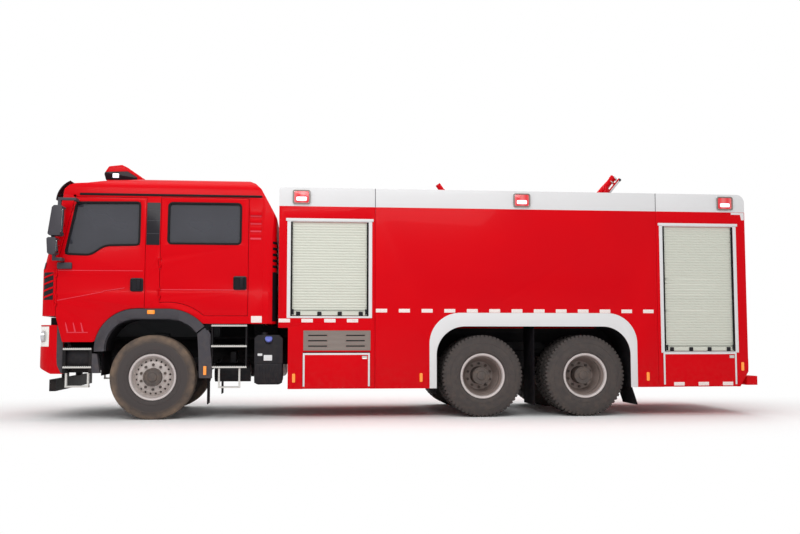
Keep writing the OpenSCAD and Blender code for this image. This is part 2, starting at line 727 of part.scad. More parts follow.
// Cab nose in plan, inset by i, cut off behind x
module nose(i, back) {
  r = 220;
  x1 = cab_front_x - 25;
  intersection() {
    translate([cab_front_x - 8000, 0]) circle(8000 - i, $fn = 720);
    union() {
      translate([back, -chw + i]) square([x1 - r - back, 2 * (chw - i)]);
      translate([back, -chw + r]) square([x1 + 60 - back, 2 * (chw - r)]);
      for (s = [-1, 1]) translate([x1 - r, s * (chw - r)]) circle(r - i);
    }
    translate([back, -chw]) square([cab_front_x + 100 - back, 2 * chw]);
  }
}
// Frame that leans back with the windscreen from its base
module leaning() {
  translate([cab_front_x, 0, cowl_z]) rotate([0, -lean, 0]) translate([-cab_front_x, 0, 0]) children();
}

door_x = 1204;
door_top = gutter_z - 30;
glass_top = gutter_z - 84;
// rear edge of the front pillar, in the leaning frame
pillar_x = cab_front_x - (cab_front_x - door_x - door_gap - 30 * tl) * cos(lean);
module screen_outline(g) {
  // in Y and in height up the leaning frame
  polygon([[-1130 - g, 95 - g], [1130 + g, 95 - g], [1085 + g, 850 + g], [-1085 - g, 850 + g]]);
}
module cab_front() {
  color(paint) {
    difference() {
      union() {
        // nose panel with grille slots
        difference() {
          translate([0, 0, panel_z]) linear_extrude(cowl_z - panel_z) difference() {
            nose(0, door_x + door_gap);
            nose(skin, door_x - 200);
          }
          for (z = [panel_z + 90:105:panel_z + 405]) bx([cab_front_x - 200, cab_front_x + 10],
              [-800, 800], [z, z + 60]);
        }
        // cowl shelf and pillars
        translate([0, 0, cowl_z - 30]) linear_extrude(30) intersection() {
          nose(skin - 20, 1110);
          translate([1000, -1175]) square([600, 2350]);
        }
        intersection() {
          leaning() translate([0, 0, -100]) linear_extrude(1300) difference() {
            nose(6, pillar_x);
            nose(skin, door_x - 200);
          }
          along([600, 2000]) cab_section(0);
          bx([600, 2000], [-1400, 1400], [cowl_z, gutter_z]);
        }
      }
      leaning() translate([door_x + 100, 0, 0]) rotate([90, 0, 90]) linear_extrude(500) screen_outline(0);
      both() for (z = hinge_fz) { hinge_room(door_x + 3, z, -33, 33); }
    }
    both() for (z = hinge_fz) hinge_pin(door_x + 3, z);
  }
}
hinge_fz = [1520, 1890];
hinge_rz = [1620, 2010];
module windscreen() {
  color("#27343a") intersection() {
    leaning() linear_extrude(1000) difference() { nose(14, door_x + 60); nose(22, door_x - 100); }
    leaning() translate([door_x + 100, 0, 0]) rotate([90, 0, 90]) linear_extrude(500) screen_outline(-eps);
  }
}
module cab_floor() {
  color("#4a4b4d") {
    difference() {
      union() {
        bx([-cab_back_x + skin, 1150], [-chw + skin + 5, chw - skin - 5], [floor_z, floor_z + 60]);
        bx([-850, 900], [-480, 480], [floor_z, floor_z + 310]);
      }
      bx([-871, 860], [-440, 440], [floor_z - 1, floor_z + 270]);
    }
    // toe board
    bx([1110, 1150], [-chw + skin + 25, chw - skin - 25], [floor_z + 59, cowl_z - 30]);
    // pivot arms
    both() difference() {
      union() {
        across([rail_out + 6, rail_out + 66])
            polygon([[pivot_x - 45, pivot_z], [pivot_x - 45, pivot_z + 120], [1000, floor_z + 1],
            [1145, floor_z + 1],
          [pivot_x + 45, pivot_z + 60], [pivot_x + 45, pivot_z]]);
        rod_y(pivot_x, [rail_out + 6, rail_out + 66], pivot_z, 55);
      }
      rod_y(pivot_x, [rail_out, rail_out + 80], pivot_z, 25 + fit);
    }
  }
}
// Outside of the roof, or its inside when inset
module roof_form(i, z) {
  intersection() {
    leaning() translate([0, 0, -1200]) linear_extrude(3600) nose(i, -cab_back_x - 400);
    translate([0, 0, z]) linear_extrude(roof_rise + 140) cab_plan(i);
    along([-2000, 2000]) cab_section(i);
    across([-1400, 1400]) cab_profile(i);
  }
}
module cab_roof() { color(paint) difference() { roof_form(0, gutter_z); roof_form(skin, gutter_z - 1); } }
quarter_x = -1392;
module cab_back() {
  color(paint) intersection() {
    translate([0, 0, 1230]) linear_extrude(gutter_z - 1230) cab_plan(0);
    along([-2000, 2000]) cab_section(0);
    difference() {
      across([-1400, 1400]) cab_profile(0);
      across([-chw + skin, chw - skin]) cab_profile(skin);
      bx([quarter_x, 3000], [-1400, 1400], [0, 4000]);
    }
  }
}
// Door outlines in X and Z, grown by g
function front_door(g) = concat(
  [[door_x + g, 1330], [door_x + g, 1950], [door_x + g - (door_top + g - 1950) * tl, door_top + g],
      [110 - g, door_top + g], [110 - g, 1428 - g]],
  rev(arc(200, 900, 528 - g, 12, 90, 9)), [[745 - g, 996 - g], [1115 + g * 0.7, 996 - g]]);
function rear_door(g) = concat(
  [[-83 + g, door_top + 12 + g], [-1203 - g, door_top + 12 + g], [-1203 - g, 1335 - g]],
  rev(arc(-190, 820, 690 - g, 81.2, 131.8, 9)), [[-83 + g, 820 + (690 - g) * sin(81.2)]]);
function front_window(g) = [[1112 + g, 2116 - g], [988 + g, glass_top - 11 + g],
    [185 - g, glass_top + g], [180 - g, 2241 - g], [614, 2231 - g], [792, 2106 - g]];
function rear_window(g) = concat(arc(-233, 2321, 60 + g, 270, 360, 4),
    arc(-233, glass_top - 61, 60 + g, 0, 90, 4),
  arc(-1049, glass_top - 61, 60 + g, 90, 180, 4), arc(-1049, 2321, 60 + g, 180, 270, 4));
module side_band(i0, i1) {
  difference() { cab_section(i0); cab_section(i1); }
}
module left_skin(i0, i1) {
  intersection() {
    along([-2000, 2000]) side_band(i0, i1);
    bx([-2000, 2000], [900, 1400], [800, gutter_z]);
  }
}
module cab_sides() {
  color(paint) both() {
    difference() {
      intersection() {
        along([quarter_x, door_x]) difference() { cab_section(0); cab_section(skin); }
        across([900, 1300]) polygon(concat([[door_x - (gutter_z - 1950) * tl, gutter_z],
            [quarter_x, gutter_z], [quarter_x, 1230], [-740, 1230]],
          rev(arc(-190, 820, 604, 90, 137, 9)), [[116, 1424], [116, 2500], [door_x - 550 * tl, 2500]]));
      }
      across([900, 1300]) polygon(front_door(door_gap));
      across([900, 1300]) polygon(rear_door(door_gap));
      for (z = hinge_rz) hinge_room(-80, z, -33, 33);
    }
    for (z = hinge_rz) hinge_pin(-80, z);
    // rocker under the floor's edge
    bx([quarter_x, -660], [1120, chw - skin + 1], [1240, floor_z]);
    // louvre ribs on the rear quarter
    for (z = [2350:100:2650]) bx([-1370, -1225], [chw - 62, chw - 12], [z, z + 55]);
  }
}
module door_panel(door, window, hx, hz) {
  difference() {
    intersection() {
      left_skin(0, skin);
      across([900, 1300]) polygon(door);
    }
    across([900, 1300]) polygon(window);
    for (z = hz) {
      hinge_room(hx, z, -74, -31);
      hinge_room(hx, z, 31, 74);
      rod_z(hx, hinge_y, [z - 75, z + 75], 8 + fit);
    }
  }
  for (z = hz) hinge_eye(hx, z);
}
module pane(window) { intersection() { left_skin(24, 30); across([900, 1300]) polygon(window); } }
module front_leaf() { door_panel(front_door(0), front_window(0), door_x + 3, hinge_fz); }
module rear_leaf() { door_panel(rear_door(0), rear_window(0), -80, hinge_rz); }
module door_front_left() { color(paint) front_leaf(); }
module door_rear_left() { color(paint) rear_leaf(); }
module door_front_right() { color(paint) mirror([0, 1, 0]) front_leaf(); }
module door_rear_right() { color(paint) mirror([0, 1, 0]) rear_leaf(); }
module glass_front_left() { color("#27343a") pane(front_window(-eps)); }
module glass_rear_left() { color("#27343a") pane(rear_window(-eps)); }
module glass_front_right() { color("#27343a") mirror([0, 1, 0]) pane(front_window(-eps)); }
module glass_rear_right() { color("#27343a") mirror([0, 1, 0]) pane(rear_window(-eps)); }

module mirrors() {
  // main and wide-angle housings, leaning with the pillar
  across([1345, 1540]) polygon([[1103, 2342], [1118, 2327], [1236, 2327], [1254, 2346], [1209, 2680],
      [1184, 2705],
    [1100, 2705], [1083, 2686]]);
  across([1345, 1540]) polygon([[1157, 2104], [1171, 2090], [1236, 2090], [1253, 2108], [1265, 2284],
      [1247, 2302],
    [1166, 2302], [1151, 2288]]);
  // link between them, then the upper and lower arms rooted on the door
  bx([1190, 1230], [1420, 1460], [2301, 2328]);
  bx([955, 995], [chw - 66, 1361], [2790, 2825]);
  bx([955, 1180], [1340, 1380], [2790, 2825]);
  bx([1140, 1180], [1340, 1380], [2700, 2825]);
  bx([1110, 1150], [chw - 5, 1390], [2020, 2060]);
  bx([1110, 1230], [1350, 1390], [2020, 2060]);
  bx([1190, 1230], [1350, 1390], [2020, 2095]);
}
module mirror_left() { color(black) difference() { mirrors(); left_core(); } }
module mirror_right() { color(black) mirror([0, 1, 0]) difference() { mirrors(); left_core(); } }
module left_core() { along([-2000, 2000]) cab_section(0); }

module cab_arches() {
  color(black) both() {
    // flare lip
    across([chw - skin, chw + 14]) polygon(concat(flare(0, 12), rev(flare(-125, 12))));
    // liner over the wheel
    across([700, chw - 30]) polygon(concat(flare(-118, 12), rev(flare(-137, 12))));
    bx([-190, 200], [700, 1150], [1300, floor_z]);
  }
}
// Single seat and rear bench: base, cushion and back in one outline, from the cab floor
seat_low = floor_z + 60;
seat_top = floor_z + 330;
module seat(y, w) {
  bx([-330, 250], [y - w / 2, y + w / 2], [seat_low, seat_top]);
  across([y - w / 2, y + w / 2])
    polygon([[-330, seat_top - 1], [250, seat_top - 1], [290, seat_top + 90], [270, seat_top + 150],
      [-200, seat_top + 120], [-330, seat_top + 850], [-430, seat_top + 850], [-330, seat_top + 70]]);
}
module seats() {
  back = -cab_back_x;
  color("#2b2d31") {
    both() seat(790, 520);
    bx([back + 130, back + 605], [-1080, 1080], [seat_low, seat_top]);
    across([-1080, 1080])
      polygon([[back + 130, seat_top - 1], [back + 605, seat_top - 1], [back + 625, seat_top + 90],
        [back + 605, seat_top + 140], [back + 255, seat_top + 120], [back + 175, seat_top + 770],
        [back + 88, seat_top + 770], [back + 70, seat_top + 70]]);
  }
}
module dashboard() {
  color("#3b3d41") {
    across([-chw + skin + 30, chw - skin - 30])
        polygon([[1110, 1640], [930, 1640], [800, 1850], [830, 1990], [1000, 2010], [1110, 1880]]);
    translate([640, 600, 2020]) rotate([0, -50, 0]) {
      rotate_extrude() translate([215, 0]) circle(15);
      translate([0, 0, -30]) cylinder(r = 60, h = 40);
      for (a = [0, 120, 240]) rotate([0, 0, a]) translate([40, -15, -8]) cube([165, 30, 12]);
    }
    // column, down into the board
    translate([640, 600, 2020]) rotate([0, 90 + 40, 0]) translate([0, 0, 10]) cylinder(r = 38, h = 260);
  }
}
// Sun visor: a curved sheet before the brow, on three brackets
visor_x = 1000;
visor_z = cab_top - 330;
visor_r = 301;
visor_t = 8;
visor_half = 1000;
module sun_visor() {
  color("#2d2220") {
    across([-visor_half, visor_half])
      polygon(concat(arc(visor_x, visor_z, visor_r, 3, 66, 10), rev(arc(visor_x, visor_z,
          visor_r - visor_t, 3, 66, 10))));
    difference() {
      for (y = [-800, 0, 800])
        across([y - 12, y + 12])
          polygon([[visor_x + 114, visor_z + 275], [visor_x + 129, visor_z + 267],
              [visor_x + 70, visor_z + 160],
            [visor_x + 30, visor_z + 180]]);
      roof_form(0, gutter_z);
    }
  }
}
bar_half = 820;
module light_bar() {
  color("#7a1016") difference() {
    across([-bar_half, bar_half])
      polygon([[703, cab_top - 150], [703, cab_top - 12], [731, cab_top + 89], [675, cab_top + 178],
        [506, cab_top + 199], [440, cab_top + 169], [201, cab_top + 4], [201, cab_top - 150]]);
    roof_form(0, gutter_z);
  }
}

// Wheels and steering

// Profile given on one side of its middle plane, closed by its mirror image
function mirrored(half) = concat(half, [for (p = rev(half)) [p[0], -p[1]]]);
bead = 0.78;
module tyre(y) {
  r = tyre_od / 2;
  b = rim_d / 2;
  w = tyre_w / 2;
  half = [[b + 0.1, -w * bead], [b + 18, -w * bead], [b + 45, -w * 0.98], [b + 110, -w],
      [r - 70, -w * 0.93],
    [r - 22, -w * 0.84], [r, -w * 0.74]];
  translate([0, y, 0]) rotate([90, 0, 0]) rotate_extrude($fn = 96) polygon(mirrored(half));
}
// Rim with its well
module rim(y) {
  b = rim_d / 2;
  w = tyre_w / 2 * bead;
  outside = [[b + 13, -w - 10], [b + 13, -w - 0.2], [b, -w - 0.2], [b, -w + 30], [b - 28, -w + 70]];
  inside = [[b - 40, -w + 75], [b - 12, -w + 35], [b - 10, -w - 10]];
  translate([0, y, 0]) rotate([90, 0, 0]) rotate_extrude($fn = 96)
    polygon(concat(mirrored(outside), rev(mirrored(rev(inside)))));
}
// Hub drum from height z, h long, bored depth deep for a spindle of radius r
module hub(z, h, r, depth) {
  difference() {
    translate([0, 0, z]) cylinder(r = 118, h = h);
    translate([0, 0, z - 1]) cylinder(r = r + fit, h = depth);
  }
}
module front_wheel() {
  y = front_track / 2;
  rim(y);
  translate([0, y, 0]) rotate([-90, 0, 0]) difference() {
    union() {
      rotate_extrude($fn = 96)
        polygon([[60, 55], [190, 55], [rim_d / 2 - 34, 10], [rim_d / 2 - 34, 24], [190, 68], [60, 68]]);
      hub(-10, 160, 45, 150);
    }
    for (a = [0:18:342]) rotate([0, 0, a + 9]) translate([215, 0, 0]) cylinder(r = 13, h = 100);
  }
}
module rear_wheel() {
  o = rear_outer;
  i = rear_outer - twin_pitch;
  rim(o);
  rim(i);
  // discs meet back to back between the tyres
  m = (o + i) / 2;
  translate([0, m, 0]) rotate([-90, 0, 0]) {
    b = rim_d / 2;
    rotate_extrude($fn = 96) polygon(mirrored([[100, -16], [190, -16], [b - 38, -112], [b - 8, -112],
        [b - 8, -96],
      [b - 38, -94], [215, 0]]));
    hub(-70, 270, 60, 251);
  }
}
module put(x) { translate([x, 0, axle_z]) children(); }
module flip() { mirror([0, 1, 0]) children(); }
module tyre_front_left() { color(black) put(0) tyre(front_track / 2); }
module tyre_front_right() { color(black) put(0) flip() tyre(front_track / 2); }
module wheel_front_left() { color("#b9bab6") put(0) front_wheel(); }
module wheel_front_right() { color("#b9bab6") put(0) flip() front_wheel(); }
module twin() { tyre(rear_outer); tyre(rear_outer - twin_pitch); }
module tyres_rear1_left() { color(black) put(rear1) twin(); }
module tyres_rear1_right() { color(black) put(rear1) flip() twin(); }
module tyres_rear2_left() { color(black) put(rear2) twin(); }
module tyres_rear2_right() { color(black) put(rear2) flip() twin(); }
module wheels_rear1_left() { color("#b9bab6") put(rear1) rear_wheel(); }
module wheels_rear1_right() { color("#b9bab6") put(rear1) flip() rear_wheel(); }
module wheels_rear2_left() { color("#b9bab6") put(rear2) rear_wheel(); }
module wheels_rear2_right() { color("#b9bab6") put(rear2) flip() rear_wheel(); }

// Steering knuckle: fork round the beam end, spindle, track arm
module knuckle() {
  put(0) difference() {
    union() {
      for (z = [-125, 80]) rod_z(0, kingpin_y, [z, z + 45], 62);
      for (z = [-125, 80]) bx([-50, 50], [kingpin_y, kingpin_y + 95], [z, z + 45]);
      bx([-50, 50], [kingpin_y + 68, kingpin_y + 98], [-125, 125]);
      rod_y(0, [kingpin_y + 90, front_track / 2 + 136], 0, 45);
      bx([-330, -30], [kingpin_y - 85, kingpin_y - 55], [-160, -120]);
      bx([-60, 20], [kingpin_y - 85, kingpin_y], [-160, -120]);
    }
    rod_z(0, kingpin_y, [-170, 150], 25 + fit);
  }
}
module knuckle_left() { color(steel) knuckle(); }
module knuckle_right() { color(steel) flip() knuckle(); }

module placed() { translate([front_axle_x, 0, 0]) children(); }
placed() frame();
placed() bumpers();
placed() lamps();
placed() axles();
placed() springs();
placed() powertrain();
placed() tanks();
placed() steps();
placed() mudguards();
placed() body_front();
placed() body_tank();
placed() body_rear();
placed() roof_parapet();
placed() roof_deck();
placed() shutters();
placed() body_trims();
placed() monitor_turret();
placed() monitor_barrel();
placed() tank_lid();
placed() flap_front_left();
placed() flap_rear_left();
placed() flap_front_right();
placed() flap_rear_right();
placed() cab_floor();
placed() cab_front();
placed() cab_roof();
placed() cab_back();
placed() cab_sides();
placed() windscreen();
placed() cab_arches();
placed() seats();
placed() dashboard();
placed() sun_visor();
placed() light_bar();
placed() door_front_left();
placed() door_rear_left();
placed() door_front_right();
placed() door_rear_right();
placed() glass_front_left();
placed() glass_rear_left();
placed() glass_front_right();
placed() glass_rear_right();
placed() mirror_left();
placed() mirror_right();
placed() knuckle_left();
placed() knuckle_right();
placed() tyre_front_left();
placed() tyre_front_right();
placed() wheel_front_left();
placed() wheel_front_right();
placed() tyres_rear1_left();
placed() tyres_rear1_right();
placed() tyres_rear2_left();
placed() tyres_rear2_right();
placed() wheels_rear1_left();
placed() wheels_rear1_right();
placed() wheels_rear2_left();
placed() wheels_rear2_right();
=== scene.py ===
# %% [markdown]
# # Dressing a crew-cab fire tender
# The truck's solids come from its construction model and are already in place, in metres, with +X
# forward, +Y to the truck's left and +Z up. This lesson gives them their looks. Panels get rounded
# edges and paint, wheels get tyres with tread, and the small things that sit on the panels are
# modelled one by one. Nothing that the construction model made is moved.

# %% Load the frame
import json
import math

import bpy
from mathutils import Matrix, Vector


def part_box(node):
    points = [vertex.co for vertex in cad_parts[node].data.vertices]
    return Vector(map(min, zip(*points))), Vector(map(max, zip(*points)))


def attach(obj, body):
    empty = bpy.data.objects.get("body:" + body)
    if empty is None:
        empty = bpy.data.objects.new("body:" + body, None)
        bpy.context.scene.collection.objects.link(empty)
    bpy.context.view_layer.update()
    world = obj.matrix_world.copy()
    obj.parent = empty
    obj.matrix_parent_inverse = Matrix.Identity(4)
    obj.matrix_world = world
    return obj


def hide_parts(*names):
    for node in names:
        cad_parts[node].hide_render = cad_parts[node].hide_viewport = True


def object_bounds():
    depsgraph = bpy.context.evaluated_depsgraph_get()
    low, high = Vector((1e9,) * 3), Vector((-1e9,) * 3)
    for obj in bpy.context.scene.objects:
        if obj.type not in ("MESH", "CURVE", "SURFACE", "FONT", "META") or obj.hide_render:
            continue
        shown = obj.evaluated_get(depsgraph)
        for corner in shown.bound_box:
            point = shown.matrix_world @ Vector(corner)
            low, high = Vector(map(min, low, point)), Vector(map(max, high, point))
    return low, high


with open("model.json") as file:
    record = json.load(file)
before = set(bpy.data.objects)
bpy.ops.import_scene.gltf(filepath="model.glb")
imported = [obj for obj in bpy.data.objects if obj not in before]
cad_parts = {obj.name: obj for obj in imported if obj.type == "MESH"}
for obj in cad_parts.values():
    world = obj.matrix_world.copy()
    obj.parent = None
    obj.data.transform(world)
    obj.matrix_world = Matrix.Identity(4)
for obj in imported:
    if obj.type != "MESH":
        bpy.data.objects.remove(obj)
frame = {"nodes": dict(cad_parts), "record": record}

cad_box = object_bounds()
nodes = frame["nodes"]
body_of_node = {n: b for b, ns in frame["record"]["behaviour"]["bodies"].items() for n in ns}
bpy.ops.object.select_all(action="DESELECT")
print("truck measures", [round(v, 3) for v in cad_box[1] - cad_box[0]], "m")

# %% [markdown]
# ## Landmarks
# Pieces are placed as on a truck maker's drawing: X counts forward from the front axle, Y from the
# middle plane and Z from the ground, in millimetres. The axle and the main faces are read from the
# frame, so the dressing follows the solids.

# %% Landmarks
MM = 0.001
AHEAD = Vector((1, 0, 0))
OUT = Vector((0, 1, 0))
UP = Vector((0, 0, 1))
front_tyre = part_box("tyre_front_left")
axle_x = (front_tyre[0].x + front_tyre[1].x) / 2


def at(x, y, z):
    """A point of the truck's drawing, in metres in the frame."""
    return Vector((axle_x + x * MM, y * MM, z * MM))


def reach(node):
    """The drawing's X, Y and Z limits of a solid."""
    low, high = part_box(node)
    return [((low.x - axle_x) / MM, (high.x - axle_x) / MM),
            (low.y / MM, high.y / MM),
            (low.z / MM, high.z / MM)]


half_body = reach("body_tank")[1][1]
half_cab = reach("cab_back")[1][1]
body_front, body_back = reach("body_front")[0][1], reach("body_rear")[0][0]
seam_front, seam_rear = reach("body_tank")[0][1], reach("body_tank")[0][0]
band_low = reach("roof_parapet")[2][0]
hub_z = sum(reach("tyre_front_left")[2]) / 2
rear_axles = [sum(reach("tyres_rear%d_left" % i)[0]) / 2 for i in (1, 2)]
print("body side", half_body, "cab side", half_cab, "rear axles", [round(x) for x in rear_axles])

# %% [markdown]
# The cab's side is not flat: it has a groove at handle height and leans in towards the roof. In plan
# the nose is a wide bow with rounded corners, and above the grille it leans back with the windscreen.
# Three short formulas give any point of that skin, so that trim can be laid on it.

# %% Cab skin
# height of a point of the side, and how far it lies inside the widest line
SIDE_SECTION = [(850, 0), (1640, 0), (1662, 13), (1840, 0), (2240, 9), (2860, 55), (2910, 60)]
CAB_FRONT = 1470
NOSE_BOW = 8000
CORNER_CENTRE = (1225, 1025)
CORNER_RADIUS = 220
COWL_Z = 1920
LEAN = math.tan(math.radians(12.5))


def skin_y(z):
    """Half width of the cab at a height."""
    for (z0, i0), (z1, i1) in zip(SIDE_SECTION, SIDE_SECTION[1:]):
        if z0 <= z <= z1:
            return half_cab - i0 - (i1 - i0) * (z - z0) / (z1 - z0)
    return half_cab


def nose_x(y):
    """Front of the cab, below the windscreen, at a distance from the middle."""
    bow = CAB_FRONT - NOSE_BOW + math.sqrt(NOSE_BOW ** 2 - y ** 2)
    past = max(abs(y) - CORNER_CENTRE[1], 0)
    return min(bow, CORNER_CENTRE[0] + math.sqrt(max(CORNER_RADIUS ** 2 - past ** 2, 0)))


def screen_x(y, z):
    """Front of the cab above the cowl, where it leans back."""
    return nose_x(y) - (z - COWL_Z) * LEAN


print("nose at the middle and at the corner", nose_x(0), round(nose_x(1200)))

# %% [markdown]
# ## Camera
# The photograph was taken from the truck's left, about 13 m away and at chest height, a little turned
# and tilted up. A pinhole camera fitted to the wheels, shutters and roof line gives the place, the
# angles and the focal length used here.

# %% Camera
CAMERA_PLACE = -1905, 13355, 1076
SENSOR_WIDTH = 36
IMAGE_WIDTH = 800
FOCAL_PIXELS = 922.1
CAMERA_YAW = math.radians(6.069)
CAMERA_PITCH = math.radians(4.26)
bpy.ops.object.camera_add(location=at(*CAMERA_PLACE))
camera = bpy.context.active_object
camera.name = "photo_camera"
camera.data.sensor_width = SENSOR_WIDTH
camera.data.lens = SENSOR_WIDTH * FOCAL_PIXELS / IMAGE_WIDTH
camera.rotation_euler = (math.pi / 2 + CAMERA_PITCH, 0, math.pi - CAMERA_YAW)
scene = bpy.context.scene
scene.camera = camera
print("lens", round(camera.data.lens, 2), "mm")

# %% [markdown]
# ## Light and floor
# A studio for vehicles is a white room with large soft lamps. The world gives the even light, a wide
# lamp on each side models the flanks, and one above lights the roof. What the camera, the glass and
# the metal see of the world is plain white, through the Light Path node. The floor keeps the truck's
# shadow, and further out it fades to the same white for the camera alone.

# %% Node helper
scene.view_settings.view_transform = "Standard"


def linear(colour):
    """An sRGB hex colour as linear red, green, blue and alpha."""
    parts = [int(colour[i:i + 2], 16) / 255 for i in (1, 3, 5)]
    return tuple(c / 12.92 if c <= 0.04045 else ((c + 0.055) / 1.055) ** 2.4 for c in parts) + (1.0,)


def put(tree, kind, sockets=None, output=0, **settings):
    """Adds a shader node, sets it up, fills its sockets with values or links, and gives an output."""
    node = tree.nodes.new("ShaderNode" + kind)
    for key, value in settings.items():
        setattr(node, key, value)
    for key, value in (sockets or {}).items():
        if isinstance(value, bpy.types.NodeSocket):
            tree.links.new(value, node.inputs[key])
        else:
            node.inputs[key].default_value = value
    return node.outputs[output] if node.outputs else None


# %% Room
ROOM_LIGHT = 0.62
world = bpy.data.worlds.new("white_room")
scene.world = world
world.use_nodes = True
room = world.node_tree
room.nodes.clear()
camera_ray = put(room, "LightPath", output="Is Camera Ray")
path = camera_ray.node
seen = put(room, "Math", {0: camera_ray, 1: path.outputs["Is Glossy Ray"]}, operation="MAXIMUM")
seen = put(room, "Math", {0: seen, 1: path.outputs["Is Transmission Ray"]}, operation="MAXIMUM")
strength = put(room, "MapRange", {"Value": seen, "To Min": ROOM_LIGHT, "To Max": 1.0})
put(room, "OutputWorld",
    {"Surface": put(room, "Background", {"Color": (1, 1, 1, 1), "Strength": strength})})


def lamp(name, place, target, size, watts):
    """A wide soft lamp aimed at a point."""
    bpy.ops.object.light_add(type="AREA", location=place)
    light = bpy.context.active_object
    light.name = name
    light.data.shape = "RECTANGLE"
    light.data.size, light.data.size_y = size
    light.data.energy = watts
    light.rotation_euler = (target - place).to_track_quat("-Z", "Y").to_euler()


middle = (cad_box[0] + cad_box[1]) / 2
# name, place from the truck's middle in metres, length and width in metres, watts
LAMPS = [("flank_lamp", (2.5, 9.0, 6.0), (11.0, 3.0), 520),
         ("far_lamp", (-4.0, -10.0, 6.0), (9.0, 4.0), 520),
         ("roof_lamp", (0.0, 0.0, 9.0), (12.0, 5.0), 420)]
for name, place, size, watts in LAMPS:
    lamp(name, middle + Vector(place), middle, size, watts)

# %% Floor
FLOOR_SIZE = 400
# the shadow's oval in metres: half its length along the truck, half its width across it
SHADOW_OVAL = 6.5, 3.0
bpy.ops.mesh.primitive_plane_add(size=FLOOR_SIZE, location=(0, 0, 0))
floor = bpy.context.active_object
floor.name = "floor"
floor_finish = bpy.data.materials.new("pale_floor")
floor_finish.use_nodes = True
floor_tree = floor_finish.node_tree
floor_shader = floor_tree.nodes["Principled BSDF"]
floor_shader.inputs["Base Color"].default_value = linear("#f4f4f4")
floor_shader.inputs["Roughness"].default_value = 0.9
floor_shader.inputs["Specular IOR Level"].default_value = 0.1
floor_place = put(floor_tree, "TexCoord", output="Object")
oval = put(floor_tree, "Mapping",
           {"Vector": floor_place, "Scale": (1 / SHADOW_OVAL[0], 1 / SHADOW_OVAL[1], 0)})
out_there = put(floor_tree, "VectorMath", {0: oval}, 1, operation="LENGTH")
fade = put(floor_tree, "MapRange", {"Value": out_there, "From Min": 0.75, "From Max": 1.5},
           interpolation_type="SMOOTHSTEP")
for_camera = put(floor_tree, "Math",
                 {0: fade, 1: put(floor_tree, "LightPath", output="Is Camera Ray")},
                 operation="MULTIPLY")
white = put(floor_tree, "Emission", {"Color": (1, 1, 1, 1), "Strength": 1.0})
mixed = put(floor_tree, "MixShader", {0: for_camera, 1: floor_shader.outputs[0], 2: white})
floor_tree.links.new(mixed, floor_tree.nodes["Material Output"].inputs["Surface"])
floor.data.materials.append(floor_finish)
print("floor ready")

# %% [markdown]
# ## Finishes
# Each finish starts from what the real one is: enamel over sheet steel, moulded plastic with a fine
# grain, dusty rubber, brushed or cast metal, glass, lamp lenses, tape and cloth. Patterns read Object
# coordinates, which are metres on the truck, so a pattern that repeats every 4 mm has a scale of one
# over 0.004. A pattern too fine to show from here is drawn coarser, and a comment says so.

# %% Finish helpers
DUST = linear("#85705f")
# up to which height dust lies, in millimetres
DUST_ON_PAINT, DUST_ON_METAL, DUST_ON_PLASTIC = 900, 1200, 1700


def per(size_mm):
    """Texture scale for a pattern with a real size in millimetres."""
    return 1 / (size_mm * MM)


def new_finish(name, slot, roughness, metallic=0.0, **sockets):
    """A named finish: its material, node tree and Object coordinates. The slot is not used."""
    material = bpy.data.materials.new(name)
    material.use_nodes = True
    inputs = material.node_tree.nodes["Principled BSDF"].inputs
    inputs["Roughness"].default_value = roughness
    inputs["Metallic"].default_value = metallic
    for key, value in sockets.items():
        inputs[key.replace("_", " ")].default_value = value
    return material, material.node_tree, put(material.node_tree, "TexCoord", output="Object")


def road_dust(tree, place, clean_above, share):
    """Where road dust lies: patches 60 mm wide, thick near the ground and gone above a height."""
    height = put(tree, "SeparateXYZ", {0: place}, 2)
    low = put(tree, "MapRange", {"Value": height, "From Min": 0.2, "From Max": clean_above * MM,
                                 "To Min": share, "To Max": 0.0})
    patches = put(tree, "TexNoise", {"Vector": place, "Scale": per(60), "Detail": 4.0})
    patches = put(tree, "MapRange", {"Value": patches, "From Min": 0.4, "From Max": 0.75})
    return put(tree, "Math", {0: low, 1: patches}, operation="MULTIPLY")


def lay(material, share, colours, dust=None, relief=None, depth=0.0, strength=0.0):
    """Mixes two colours by a pattern, lays dust on them, and raises a relief of a depth in millimetres."""
    tree = material.node_tree
    shader = tree.nodes["Principled BSDF"]
    mix = {0: share, 6: linear(colours[0]), 7: linear(colours[1])}
    tone = put(tree, "Mix", mix, 2, data_type="RGBA")
    if dust is not None:
        tone = put(tree, "Mix", {0: dust, 6: tone, 7: DUST}, 2, data_type="RGBA")
    tree.links.new(tone, shader.inputs["Base Color"])
    if relief is not None:
        bump = {"Height": relief, "Distance": depth * MM, "Strength": strength}
        tree.links.new(put(tree, "Bump", bump), shader.inputs["Normal"])
    return material


# %% [markdown]
# Paint on the body is enamel over pressed sheet: the colour is even, the gloss carries the faint waves
# of the sheet, and dust greys the lower edge. Specular is kept low, so that the white room doesn't wash
# the red out.

# %% Enamel
def enamel(name, slot, colours, specular):
    """Two-coat enamel. Orange peel is about 3 mm on the truck, drawn at 30 mm so that it shows."""
    material, tree, place = new_finish(name, slot, 0.3, Specular_IOR_Level=specular, Coat_Weight=0.04,
                                       Coat_Roughness=0.05)
    waves = put(tree, "TexNoise", {"Vector": place, "Scale": per(700), "Detail": 2.0})
    peel = put(tree, "TexNoise", {"Vector": place, "Scale": per(30), "Detail": 2.0})
    return lay(material, waves, colours, road_dust(tree, place, DUST_ON_PAINT, 0.08), peel, 0.4, 0.08)


red_enamel = enamel("red_enamel", "red_paint", ("#d4000e", "#cb0010"), 0.06)
# pale red laid on the edges of creases, swages, pressings and louvre lips: a painted highlight
painted_highlight_red = enamel("red_painted_highlight", "red_paint", ("#e04a58", "#dc4252"), 0.06)
white_enamel = enamel("white_enamel", "white_paint", ("#dededf", "#dadadb"), 0.2)

